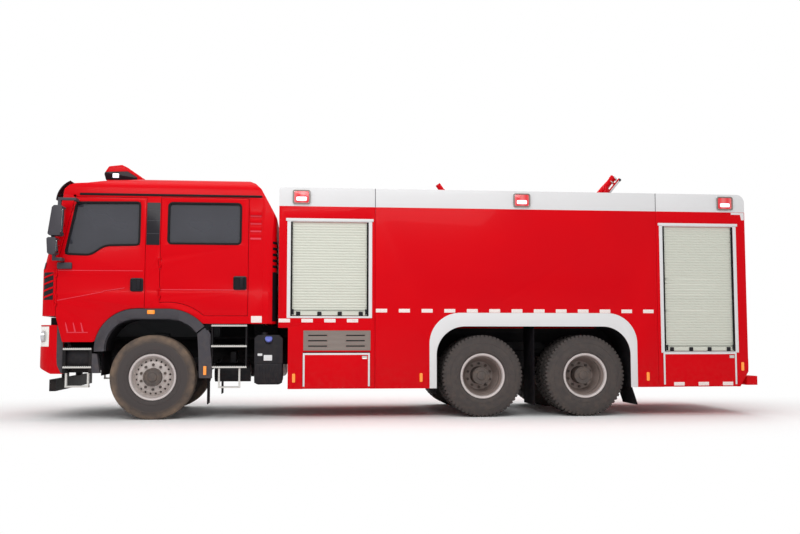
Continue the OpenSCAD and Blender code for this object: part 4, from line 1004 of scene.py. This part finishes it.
def handle(name, x, z):
    """Handle cup with rounded corners and an upright grip."""
    cup = skin_plate(name, corners(x, z), -4, 16, corner=26, edge=3)
    pick(cup, lambda c, n: n.y > 0.9)
    bpy.ops.mesh.inset(thickness=CUP_RIM * MM, depth=0)
    bpy.ops.mesh.extrude_region_move(TRANSFORM_OT_translate={"value": OUT * -CUP_DEPTH * MM})
    rest_selection()
    grip_x = x[0] + (x[1] - x[0]) * GRIP_SHARE
    y = skin_y(sum(z) / 2)
    grip = block(name + "_grip", (grip_x - GRIP_HALF, grip_x + GRIP_HALF), (y + 2, y + 26),
                 (z[0] + 20, z[1] - 20), edge=9, steps=3)
    return joined(name, [cup, grip])


fit_pair(handle("handle_front_left", (122, 288), (1642, 1814)), "front_left_door", gloss_black)
fit_pair(handle("handle_rear_left", (-1188, -1016), (1668, 1846)), "rear_left_door", gloss_black)
print("handles fitted")

# %% Creases and pressings
# the crease, the swages and the pressings are thin strips in the paler red: painted highlights on their
# edges
CREASE_LOW = [(1190, 1519), (1190, 1527), (625, 1638), (625, 1631)]
CREASE_HIGH = [(625, 1641), (625, 1648), (360, 1690), (360, 1683)]
crease = [skin_plate("crease", points, -1, 6, edge=2) for points in (CREASE_LOW, CREASE_HIGH)]
fit_pair(joined("door_crease_left", crease), "front_left_door", painted_highlight_red)
for name, row, x, z in (("door_swage_left", "front", (130, 1196), (1904, 1911)),
                        ("door_swage_rear_left", "rear", (-1190, -90), (1664, 1672))):
    fit_pair(skin_plate(name, corners(x, z), -1, 4), row + "_left_door", painted_highlight_red)
# lips of the louvres on the cab's rear quarter, in the paler red: painted highlights on their lower edges
lip_highlights = [skin_plate("lip", corners((-1368, -1227), (z - 22, z + 2)), -2, 8, edge=3)
        for z in (2350, 2450, 2550, 2650)]
fit_pair(joined("quarter_louvre_lips_left", lip_highlights), "cab", painted_highlight_red)
strokes = [[(x, 1124), (x + 22, 1124), (x + 44, 1240), (x + 34, 1244)] for x in (1040, 945, 850)]
strokes.append(corners((800, 1062), (1112, 1122)))
pressings = [side_plate("pressing", stroke, half_cab - 1, 7, edge=4) for stroke in strokes]
fit_pair(joined("door_pressings_left", pressings), "front_left_door", painted_highlight_red)
print("creases and pressings fitted")

# %% [markdown]
# ## Cab front
# Behind the slots of the nose lies a black mesh. A black cowl runs below the windscreen, with the
# wipers parked on it, and at each corner an air guide has slanted blades in a dark recess. These pieces
# follow the bow of the nose, so their outlines are walked along the plan formula.

# %% Cowl and grille
NOSE_POINTS = 12
COWL_HEIGHT = 86
GRILLE_LOW, GRILLE_HEIGHT = 1390, 430
GRILLE_BAR_LOW, GRILLE_BAR_PITCH, GRILLE_BAR_HEIGHT = 1444, 105, 14


def nose_strip(name, half, z, outside, inside, push):
    """A strip along the nose between two distances from its skin, pulled up to a height."""
    ys = [half * (i / NOSE_POINTS - 1) for i in range(2 * NOSE_POINTS + 1)]
    front = [at(nose_x(y) + outside, y, z) for y in ys]
    back = [at(nose_x(y) + inside, y, z) for y in reversed(ys)]
    return plate(name, front + back, push, edge=3)


cowl = nose_strip("cowl_band", 1195, COWL_Z + 3, 8, -4, Vector((-COWL_HEIGHT * LEAN, 0, COWL_HEIGHT)) * MM)
fit(cowl, "cab", black_plastic)
fit(nose_strip("grille_back", 830, GRILLE_LOW, -62, -70, UP * GRILLE_HEIGHT * MM), "cab", gloss_black)
bars = [nose_strip("grille_bar", 800, GRILLE_BAR_LOW + i * GRILLE_BAR_PITCH, -8, -50,
                   UP * GRILLE_BAR_HEIGHT * MM) for i in range(4)]
fit(joined("grille_bars", bars), "cab", black_plastic)
print("cowl and grille fitted")

# %% Wipers
WIPER_CLEAR = 12
PIVOT_Z, ELBOW_Z, BLADE_Z = 1996, 2062, 2074
BLADE_LENGTH, BLADE_POINTS, BLADE_SLOPE = 680, 8, 0.04
KNOB = [(0, -8), (22, -8), (22, 10), (14, 18), (0, 20)]
for name, pivot_y in (("wiper_left", 640), ("wiper_right", -180)):
    ends = [(pivot_y, PIVOT_Z), (pivot_y - 330, ELBOW_Z)]
    arm = bar(name + "_arm", [at(screen_x(y, z) + WIPER_CLEAR, y, z) for y, z in ends], 8)
    along = [i * BLADE_LENGTH / BLADE_POINTS for i in range(BLADE_POINTS + 1)]
    tips = [(pivot_y - BLADE_LENGTH + s, BLADE_Z - s * BLADE_SLOPE) for s in along]
    blade = bar(name + "_blade", [at(screen_x(y, BLADE_Z) + 4, y, z) for y, z in tips], 10)
    knob = turned(name + "_pivot", KNOB, at(screen_x(pivot_y, PIVOT_Z), pivot_y, PIVOT_Z), AHEAD, 24)
    fit(joined(name, [arm, blade, knob]), "cab", seal_rubber)
print("wipers fitted")

# %% Corner air guides
GUIDE_LOW, GUIDE_HEIGHT = 1530, 350
GUIDE_BLADE_LOW, GUIDE_BLADE_PITCH, GUIDE_BLADE_SLANT = 1560, 84, 1.4


def corner_point(angle, lift, z):
    """A point at the cab's front corner, turned from the side towards the front."""
    a = math.radians(angle)
    r = CORNER_RADIUS + lift
    return at(CORNER_CENTRE[0] + r * math.sin(a), CORNER_CENTRE[1] + r * math.cos(a), z)


angles = [4 + i * 6 for i in range(7)]
rim = [corner_point(a, 2.5, GUIDE_LOW) for a in angles]
rim += [corner_point(a, -4, GUIDE_LOW) for a in angles[::-1]]
fit_pair(plate("air_guide_left", rim, UP * GUIDE_HEIGHT * MM, edge=1), "cab", gloss_black)
blades = []
for i in range(4):
    z = GUIDE_BLADE_LOW + i * GUIDE_BLADE_PITCH
    low = [corner_point(a, 3, z - a * GUIDE_BLADE_SLANT + 40) for a in angles[::2]]
    high = [corner_point(a, 3, z - a * GUIDE_BLADE_SLANT + 62) for a in angles[::-2]]
    blades.append(plate("blade_%d" % i, low + high, Vector((4, 8, 0)) * MM, edge=1.5))
fit_pair(joined("air_guide_blades_left", blades), "cab", red_enamel)
print("air guides fitted")

# %% [markdown]
# ## Mirrors, light bar and lamps
# The mirror housings are solids already; their glass faces backwards, and the upper one carries a red
# lamp. The light bar is a red cover on a smoked body with a lit lamp at each end and a sloped silver
# tail. Scene lamps in the roof band have a bezel, a red lens above and a clear one below.

# %% Mirror glass, lamp and root
MIRROR_Y = 1364, 1522
# X and Z of the top and of the bottom of each glass
MIRRORS = {"upper": ((1085, 2668), (1101, 2362)), "lower": ((1152, 2276), (1156, 2116))}
for name, (top, bottom) in MIRRORS.items():
    face = [at(bottom[0], MIRROR_Y[0], bottom[1]), at(bottom[0], MIRROR_Y[1], bottom[1]),
            at(top[0], MIRROR_Y[1], top[1]), at(top[0], MIRROR_Y[0], top[1])]
    glass_plate = plate("mirror_glass_%s_left" % name, face, AHEAD * -4 * MM, corner=24, edge=1)
    fit_pair(glass_plate, "front_left_door", mirror_silver)
marker = block("mirror_lamp_left", (1170, 1244), (1526, 1539.6), (2350, 2396), edge=6, steps=3)
fit_pair(marker, "front_left_door", red_lens)
root_y = skin_y(1965)
root = block("mirror_root_left", (1014, 1198), (root_y - 8, root_y + 34), (1924, 2008), edge=16, steps=4)
fit_pair(root, "front_left_door", black_plastic)
print("mirrors fitted")

# %% Light bar
bar_x, bar_y, bar_z = reach("light_bar")
BAR_TIP = bar_x[1]
BAR_SPLIT = bar_z[1] - 100
BAR_END = [(BAR_TIP - 25, 3152), (BAR_TIP - 3, 3246), (BAR_TIP - 14, BAR_SPLIT), (430, BAR_SPLIT + 12),
           (300, 3190), (300, 3152)]
END_LAMP = corners((540, 622), (3180, 3238))
fit_pair(side_plate("light_bar_end_left", BAR_END, bar_y[1] - 2, 8, corner=6, edge=3), "cab", dark_lens)
fit_pair(side_plate("light_bar_lamp_left", END_LAMP, bar_y[1] + 4, 7, corner=8, edge=2), "cab", bright_lens)
TAIL_HALF = 790
tail_face = [at(436, -TAIL_HALF, 3326), at(436, TAIL_HALF, 3326), at(212, TAIL_HALF, 3172),
             at(212, -TAIL_HALF, 3172)]
fit(plate("light_bar_tail", tail_face, Vector((-3, 0, 5)) * MM, corner=10, edge=1), "cab", bright_steel)
MODULES = 10
LIT_MODULES = 2, 7
MODULE_GAP = 8
module_width = (bar_y[1] - bar_y[0]) / MODULES
for i in range(MODULES):
    y = (bar_y[0] + i * module_width + MODULE_GAP, bar_y[0] + (i + 1) * module_width - MODULE_GAP)
    face = [at(BAR_TIP - 27, y[0], 3154), at(BAR_TIP - 27, y[1], 3154), at(BAR_TIP - 3, y[1], 3240),
            at(BAR_TIP - 3, y[0], 3240)]
    module = plate("light_bar_module_%d" % i, face, Vector((8, 0, -2)) * MM, corner=6, edge=3)
    fit(module, "cab", bright_lens if i in LIT_MODULES else dark_lens)
print("light bar fitted")

# %% Scene lamps
LAMPS_ABOVE, MARKERS_BELOW = 2700, 900
lamps = dress("lamps", clear_lens, chrome, amber_lens, red_lens, edge=7, steps=3)
repaint(lamps, 1, lambda c, n: c.z > LAMPS_ABOVE)
repaint(lamps, 2, lambda c, n: abs(c.y) > half_body - 5 and c.z < MARKERS_BELOW)
repaint(lamps, 3, lambda c, n: c.x < body_back + 1)
lamp_out = reach("lamps")[1][1]
ROOF_LINE = reach("roof_parapet")[2][1]
LAMP_Z = band_low + 25, ROOF_LINE - 32
SCENE_LAMPS = body_front - 290, sum(rear_axles) / 2 + 160, body_back + 290
LENS_HALF, GLOW_HALF, BEZEL_HALF, BEZEL_WIDTH = 97, 68, 116, 16
for i, x in enumerate(SCENE_LAMPS):
    lens_edge = corners((x - LENS_HALF, x + LENS_HALF), (LAMP_Z[0] + 18, LAMP_Z[1] - 18))
    upper = side_plate("scene_lens_red_left_%d" % i, lens_edge, lamp_out - 2, 9, corner=20, edge=4)
    fit_pair(upper, "chassis", red_lens)
    glow_edge = corners((x - GLOW_HALF, x + GLOW_HALF), (LAMP_Z[0] + 44, LAMP_Z[0] + 96))
    glow = side_plate("scene_glow_left_%d" % i, glow_edge, lamp_out + 5, 5, corner=14, edge=2)
    fit_pair(glow, "chassis", bright_lens)
    bezel_edge = corners((x - BEZEL_HALF, x + BEZEL_HALF), (LAMP_Z[0] + 2, LAMP_Z[1] - 2))
    bezel = ring("scene_bezel_left_%d" % i, side_points(bezel_edge, lamp_out - 3), BEZEL_WIDTH,
                 OUT * 12 * MM, corner=28, edge=3)
    fit_pair(bezel, "chassis", stainless)
print("scene lamps fitted")

# %% Headlamps and amber lamps
HEADLAMP_Z = 1065
# Y, X, radius and finish of the two projectors
HEADLAMPS = [(928, 1452, 74, bright_lens), (1096, 1398, 66, chrome)]
for i, (y, x, r, finish) in enumerate(HEADLAMPS):
    profile = [(r + 10, -40), (r + 10, 2), (r + 4, 7), (r, 2), (r * 0.6, 9), (0, 13)]
    projector = turned("headlamp_left_%d" % i, profile, at(x, y, HEADLAMP_Z), AHEAD, 40)
    fit_pair(projector, "chassis", finish)
guard_lamp = block("guard_lamp_left", (-690, -650), (1232, 1250), (572, 686), edge=6, steps=3)
fit_pair(guard_lamp, "chassis", amber_lens)
flare_lamp = block("flare_lamp_left", (-30, 66), (half_cab + 8, half_cab + 26), (1352, 1404),
                   edge=8, steps=3)
fit_pair(flare_lamp, "cab", amber_lens)
print("lamps fitted")

# %% [markdown]
# ## Steps, tank and small plates
# Treads end in a bright serrated nosing, so that a wet boot doesn't slip: a plate with a saw-tooth top.
# The additive tank on the left has a belt line, ribs below it and a blue cap. The labels are left blank.

# %% Step nosings
TOOTH = 23
VALLEY, PEAK = 17, 27


def nosing(name, x, z, y):
    """Serrated strip along the edge of a tread."""
    count = int((x[1] - x[0]) / TOOTH)
    pitch = (x[1] - x[0]) / count
    teeth = []
    for i in range(count):
        teeth += [(x[1] - i * pitch, z + VALLEY), (x[1] - (i + 0.5) * pitch, z + PEAK)]
    points = [(x[0], z), (x[1], z)] + teeth + [(x[0], z + VALLEY)]
    return side_plate(name, points, y - 1, 9, edge=0)


FRONT_TREAD, REAR_TREAD = (756, 1108), (-1198, -744)
TREADS = [("front_top", FRONT_TREAD, 896), ("front_low", FRONT_TREAD, 664), ("rear_top", REAR_TREAD, 1196),
          ("rear_middle", REAR_TREAD, 930), ("rear_low", REAR_TREAD, 660)]
for name, x, z in TREADS:
    fit_pair(nosing("step_nosing_left_" + name, x, z, reach("steps")[1][1]), "chassis", bright_steel)
print("nosings:", len(TREADS))

# %% Tank ribs, cap and blank labels
TANK_OUT = 1190
RIBS, RIB_FIRST, RIB_PITCH, RIB_WIDTH = 9, -1642, 40, 18
ribs = [block("tank_shell", (-1658, -1297), (TANK_OUT - 4, TANK_OUT + 16), (462, 714), edge=12, steps=3)]
for i in range(RIBS):
    x = RIB_FIRST + i * RIB_PITCH
    ribs.append(block("tank_rib", (x, x + RIB_WIDTH), (TANK_OUT + 10, TANK_OUT + 24), (486, 692), edge=5))
fit(joined("tank_ribs_left", ribs), "chassis", tank_plastic)

CAP_TILT = Vector((0, 0.8, 0.6))
CAP_PLACE = at(-1478, TANK_OUT - 22, 1018)
CAP_FLUTE = 11
NECK = [(0, -30), (58, -30), (58, 12), (52, 18), (0, 18)]
CAP = [(0, 17), (47, 17), (47, 38), (42, 44), (28, 46), (0, 46)]
fit(turned("tank_neck_left", NECK, CAP_PLACE, CAP_TILT, 32), "chassis", tank_plastic)
cap = turned("tank_cap_left", CAP, CAP_PLACE, CAP_TILT, 32)
pick(cap, lambda c, n: (abs(n.dot(CAP_TILT)) < 0.3
                        and int(math.degrees(math.atan2(n.z, n.x)) / CAP_FLUTE) % 2 == 0))
bpy.ops.mesh.inset(thickness=1.5 * MM, depth=-3 * MM)
rest_selection()
fit(cap, "chassis", cap_blue)
LABELS = [((-1524, -1416), (753, 825)), ((-1397, -1337), (815, 845))]
for i, (x, z) in enumerate(LABELS):
    label = side_plate("tank_label_left_%d" % i, corners(x, z), TANK_OUT - 0.5, 2, corner=5, edge=0.5)
    fit(label, "chassis", white_enamel)
quarter = corners((-1388, -1250), (1244, 1330))
fit(side_plate("quarter_plate_left", quarter, half_cab - 0.5, 3, corner=5, edge=0.8), "cab", white_tape)
print("steps and tank fitted")

# %% [markdown]
# ## Shutters, flaps and tape
# A roller shutter runs in black seals and closes with a bottom bar, held by dark clamps and a latch at
# each end. The drop flaps below have a white edge on three sides and a latch. Rows of reflective tape
# follow, then the dark slots of the louvre plate.

# %% Shutter seals and clamps
CLAMPS = 0.1, 0.37, 0.63, 0.9
SHUTTERS = [("front", (body_front - 1176, body_front - 154), (1330, band_low - 205)),
            ("rear", (body_back + 179, body_back + 1184), (861, band_low - 205))]
for name, x, z in SHUTTERS:
    seals = [block("seal", (end - 11, end + 11), (half_body - 17, half_body + 4), z, edge=2)
             for end in (x[0] + 13, x[1] - 13)]
    seals.append(block("seal", (x[0] + 20, x[1] - 20), (half_body - 17, half_body + 3),
                       (z[0] + 58, z[0] + 68), edge=2))
    fit_pair(joined("shutter_seal_%s_left" % name, seals), "chassis", seal_rubber)
    header = block("shutter_header_%s_left" % name, (x[0] - 64, x[1] + 64), (half_body - 1, half_body + 20),
                   (z[1] + 8, z[1] + 44), edge=4)
    fit_pair(header, "chassis", white_enamel)
    middles = [x[0] + (x[1] - x[0]) * share for share in CLAMPS]
    clamps = [block("clamp", (middle_x - 28, middle_x + 28), (half_body + 2, half_body + 18),
                    (z[0] + 6, z[0] + 60), edge=8) for middle_x in middles]
    clamps += [block("latch", (end - 12, end + 12), (half_body + 2, half_body + 24),
                     (z[0] + 18, z[0] + 92), edge=6) for end in (x[0] + 34, x[1] - 34)]
    fit_pair(joined("shutter_clamps_%s_left" % name, clamps), "chassis", gloss_black)

back_seal = [at(body_back + 17, y, z) for y, z in corners((-560, 560), (1250, band_low - 275))]
fit(ring("shutter_seal_back", back_seal, 22, AHEAD * -19 * MM, edge=2), "chassis", seal_rubber)
print("shutter seals and clamps fitted")

# %% Flap edging and latches
EDGING = 24
OPEN_END = 30
for name in ("front_left", "rear_left"):
    x, _, z = reach("flap_" + name)
    inner, low, top = (x[0] + EDGING, x[1] - EDGING), z[0] + OPEN_END, z[1]
    u_shape = [(x[0], low), (x[0], top), (x[1], top), (x[1], low),
               (inner[1], low), (inner[1], top - EDGING), (inner[0], top - EDGING), (inner[0], low)]
    edging = side_plate("flap_edging_" + name, u_shape, half_body - 0.5, 3.5, edge=1)
    fit_pair(edging, name + "_flap", white_enamel)
    latch = block("flap_latch_" + name, (x[0] + 36, x[0] + 104), (half_body - 1, half_body + 12),
                  (top - 78, top - 38), edge=5, steps=3)
    pick(latch, lambda c, n: n.y > 0.9)
    bpy.ops.mesh.inset(thickness=7 * MM, depth=-5 * MM)
    rest_selection()
    fit_pair(latch, name + "_flap", bright_steel)
print("flap edging and latches fitted")

# %% Reflective tape
DASH_LENGTH, DASH_HEIGHT = 148, 48
# name, front end, pitch, count, height, body
TAPE = [("tape_front_left", body_front - 4, 296, 4, 1249, "chassis"),
        ("tape_tank_left", seam_front - 9, 303, 13, 1381, "chassis"),
        ("tape_flap_rear_left", reach("flap_rear_left")[0][1] - 140, 345, 3, 402, "rear_left_flap")]
for name, start, pitch, count, z, body in TAPE:
    dashes = []
    for x in [start - i * pitch for i in range(count)]:
        dash = corners((x - DASH_LENGTH, x), (z, z + DASH_HEIGHT))
        dashes.append(side_plate("dash", dash, half_body - 0.4, 1.6, corner=5, edge=0.4))
    fit_pair(joined(name, dashes), body, white_tape)
print("tape rows:", len(TAPE))

# %% Louvre slots, corner bracket and seams
flap_x, _, flap_z = reach("flap_front_left")
LOUVRE_Z, LOUVRE_PITCH = 923, 70
slots, frames = [], []
for x in (flap_x[1] - 60, flap_x[0] + 320):
    for z in [LOUVRE_Z + i * LOUVRE_PITCH for i in range(3)]:
        frames.append(block("frame", (x - 259, x - 1), (half_body - 0.5, half_body + 5),
                            (z + 1, z + 34), edge=1))
        slots.append(block("slot", (x - 252, x - 8), (half_body + 1, half_body + 6.5),
                           (z + 10, z + 26), edge=1))
fit_pair(joined("louvre_frames_left", frames), "chassis", stainless)
fit_pair(joined("louvre_slots_left", slots), "chassis", seal_rubber)
BRACKET = [(-7977, 2668), (-7977, 2770), (-7790, 2770), (-7790, 2744), (-7922, 2744), (-7938, 2668)]
fit_pair(side_plate("corner_bracket_left", BRACKET, half_body - 0.5, 4, edge=1), "chassis", white_enamel)
for name, x in (("front", seam_front), ("rear", seam_rear)):
    seam = block("band_seam_%s_left" % name, (x - 4, x + 4), (half_body - 3, half_body + 0.6),
                 (band_low, ROOF_LINE), edge=0.3)
    fit_pair(seam, "chassis", black_plastic)
gap_line = block("flap_gap_left", flap_x, (half_body - 2, half_body + 1.5), (flap_z[1] + 7, flap_z[1] + 16),
                 edge=0.5)
fit_pair(gap_line, "chassis", seal_rubber)
print("louvres, brackets and seams fitted")

# %% [markdown]
# ## Monitor
# The roof monitor throws water: its barrel has a silver collar at each change of section and a black
# nozzle. The barrel leans back, so the rings are turned about its own axis.

# %% Monitor rings
GUN_ELEVATION = math.radians(50)
TUBE_DROP = 86
gun_axis = Vector((-math.cos(GUN_ELEVATION), 0, math.sin(GUN_ELEVATION)))
gun_pivot = at(gun_x, 0, band_low + 405)
tube_start = gun_pivot - Vector((math.sin(GUN_ELEVATION), 0, math.cos(GUN_ELEVATION))) * TUBE_DROP * MM
# name, where its distances start, first and last distance, radius, finish
RINGS = [("collar_low", gun_pivot, 108, 124, 56, bright_steel),
         ("collar_high", gun_pivot, 262, 276, 45, bright_steel),
         ("mouth", gun_pivot, 340, 359, 55, white_enamel),
         ("tube_sleeve", tube_start, 135, 366, 20.5, white_enamel),
         ("nozzle", tube_start, 366, 401, 23, gloss_black)]
for name, centre, start, end, radius, finish in RINGS:
    wall = radius * 0.3
    profile = [(radius - wall, start), (radius - 1, start), (radius, start + 2), (radius, end - 2),
               (radius - 1, end), (radius - wall, end), (radius - wall, start)]
    fit(turned("monitor_" + name, profile, centre, gun_axis, 40), "monitor_gun", finish)
print("monitor fitted")

# %% [markdown]
# ## Guards round the front wheel
# Behind the wheel a moulded cheek closes the house: its front edge follows the tyre, its rear edge is
# straight. Ahead of the wheel a splash plate keeps dirt off the steps, and the ends of the bumper are
# covered by black rubber. All are thin, so they are outlines or blocks of a few millimetres. A black
# bridge fills the space between bumper and cab.

# %% Cheek, splash plate, bumper ends and bridge
GUARD_Y = reach("mudguards")[1][1]
CHEEK = [(-567, 1104), (-574, 1000), (-582, 880), (-590, 690), (-596, 532), (-765, 530), (-752, 760),
         (-722, 1010), (-706, 1100), (-664, 1180)]
END_GUARD = [(1118, 600), (1140, 600), (1188, 700), (1196, 800), (1196, 1206), (1118, 1206)]
END_GUARD_Y = 1174
cheek = side_plate("wheel_house_cheek_left", CHEEK, GUARD_Y + 1, 12, corner=10, edge=3)
fit_pair(cheek, "chassis", black_plastic)
fit_pair(block("splash_plate_left", (640, 652), (520, 1122), (565, 1005)), "chassis", flap_rubber)
end_guard = side_plate("bumper_end_left", END_GUARD, END_GUARD_Y, 5, corner=8, edge=2)
fit_pair(end_guard, "chassis", black_plastic)
fit_pair(block("step_well_left", (789, 1076), (1150, 1162), (699, 891), edge=3), "chassis", tank_plastic)
fit(block("bumper_bridge", (1185, 1300), (-1080, 1080), (1205, 1308), edge=6), "chassis", chassis_paint)
print("guards fitted")

# %% [markdown]
# Behind the cab's rear corner the engine draws its air through a dark panel, with fins above it. The
# corner lies in shade, and the dark panel over its curve is partly painted shade. Both wrap round the
# corner, so their outline is walked along it in plan and pulled up.

# %% Air intake and painted shade on the cab's rear corner
REAR_CORNER = -1440, 1115
REAR_RADIUS = 130
INTAKE_Z = 1262, 1905
FINS, FIN_LOW, FIN_PITCH, FIN_HEIGHT = 5, 1960, 78, 34


def corner_strip(name, z, height):
    """A strip round the cab's rear corner, from its side to its back."""
    turns = [math.radians(38 + i * 6.5) for i in range(9)]
    plan = []
    for lift, back in ((5, -1575), (-3, -1567)):
        r = REAR_RADIUS + lift
        edge = [(REAR_CORNER[0] - r * math.sin(a), REAR_CORNER[1] + r * math.cos(a)) for a in turns]
        plan.append(edge + [(back, 700)])
    return plate(name, [at(x, y, z) for x, y in plan[0] + plan[1][::-1]], UP * height * MM, edge=1)


# dark rubber over the curve of the corner: partly an air intake, partly painted shade
intake_shade = corner_strip("air_intake_left", INTAKE_Z[0], INTAKE_Z[1] - INTAKE_Z[0])
fit_pair(intake_shade, "cab", flap_rubber)
fins = [corner_strip("fin", FIN_LOW + i * FIN_PITCH, FIN_HEIGHT) for i in range(FINS)]
fit_pair(joined("air_intake_fins_left", fins), "cab", flap_rubber)
print("intakes fitted")

# %% [markdown]
# ## Seats
# Each seat is a foam cushion and back in woven cloth on a plastic base. A cushion could be a rounded
# box, but foam under cloth swells between its edges. So each pad starts slightly small, is remeshed to
# an even grid, and a cloth simulation with inner pressure puffs it up, with the movement capped.

# %% Padding
VOXEL = 20
PRESSURE = 4
FRAMES = 20
SWELL = 16
SMOOTHING = 4
SEAT_BASE = reach("seats")[2][0]


def pad(name, points, y):
    """A foam pad in cloth, from its side outline over the seat's base and its width."""
    points = [(x, z + SEAT_BASE) for x, z in points]
    piece = side_plate(name, points, y[0], y[1] - y[0], corner=30, edge=24)
    only(piece)
    piece.data.remesh_voxel_size = VOXEL * MM
    bpy.ops.object.voxel_remesh()
    start = [v.co.copy() for v in piece.data.vertices]
    cloth = piece.modifiers.new("cloth", "CLOTH")
    cloth.settings.use_pressure = True
    cloth.settings.uniform_pressure_force = PRESSURE
    cloth.settings.effector_weights.gravity = 0
    for step in range(1, FRAMES + 1):
        scene.frame_set(step)
    bpy.ops.object.modifier_apply(modifier=cloth.name)
    for vertex, before in zip(piece.data.vertices, start):
        moved = vertex.co - before
        if moved.length > SWELL * MM:
            vertex.co = before + moved.normalized() * SWELL * MM
    scene.frame_set(1)
    even = piece.modifiers.new("even", "SMOOTH")
    even.iterations = SMOOTHING
    bpy.ops.object.modifier_apply(modifier=even.name)
    return piece


# %% Front seats and bench
BASE_Z = SEAT_BASE, SEAT_BASE + 262
SEAT_Y, SEAT_BASE_Y = (548, 1032), (545, 1035)
BENCH_Y, BENCH_BASE_Y = (-1062, 1062), (-1070, 1070)
CUSHION = [(-300, 272), (240, 272), (272, 352), (258, 402), (-225, 382)]
BACK = [(-258, 402), (-330, 1100), (-405, 1100), (-316, 360)]
BENCH_BACK = reach("seats")[0][0]
BENCH = [(BENCH_BACK + x, z) for x, z in ((90, 272), (520, 272), (535, 350), (520, 394), (210, 376))]
BENCH_REST = [(BENCH_BACK + x, z) for x, z in ((173, 398), (100, 1026), (34, 1026), (24, 360))]
soft = []
for name, points in (("seat_cushion_left", CUSHION), ("seat_back_left", BACK)):
    soft += fit_pair(pad(name, points, SEAT_Y), "cab", seat_cloth)
fit_pair(block("seat_base_left", (-320, 240), SEAT_BASE_Y, BASE_Z, edge=20, steps=3), "cab", cab_liner)
for name, points in (("bench_cushion", BENCH), ("bench_back", BENCH_REST)):
    soft.append(fit(pad(name, points, BENCH_Y), "cab", seat_cloth))
bench_x = BENCH_BACK + 80, BENCH_BACK + 520
bench_base = block("bench_base", bench_x, BENCH_BASE_Y, BASE_Z, edge=20, steps=3)
fit(bench_base, "cab", cab_liner)
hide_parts("seats")
print("pads:", [p.name for p in soft])
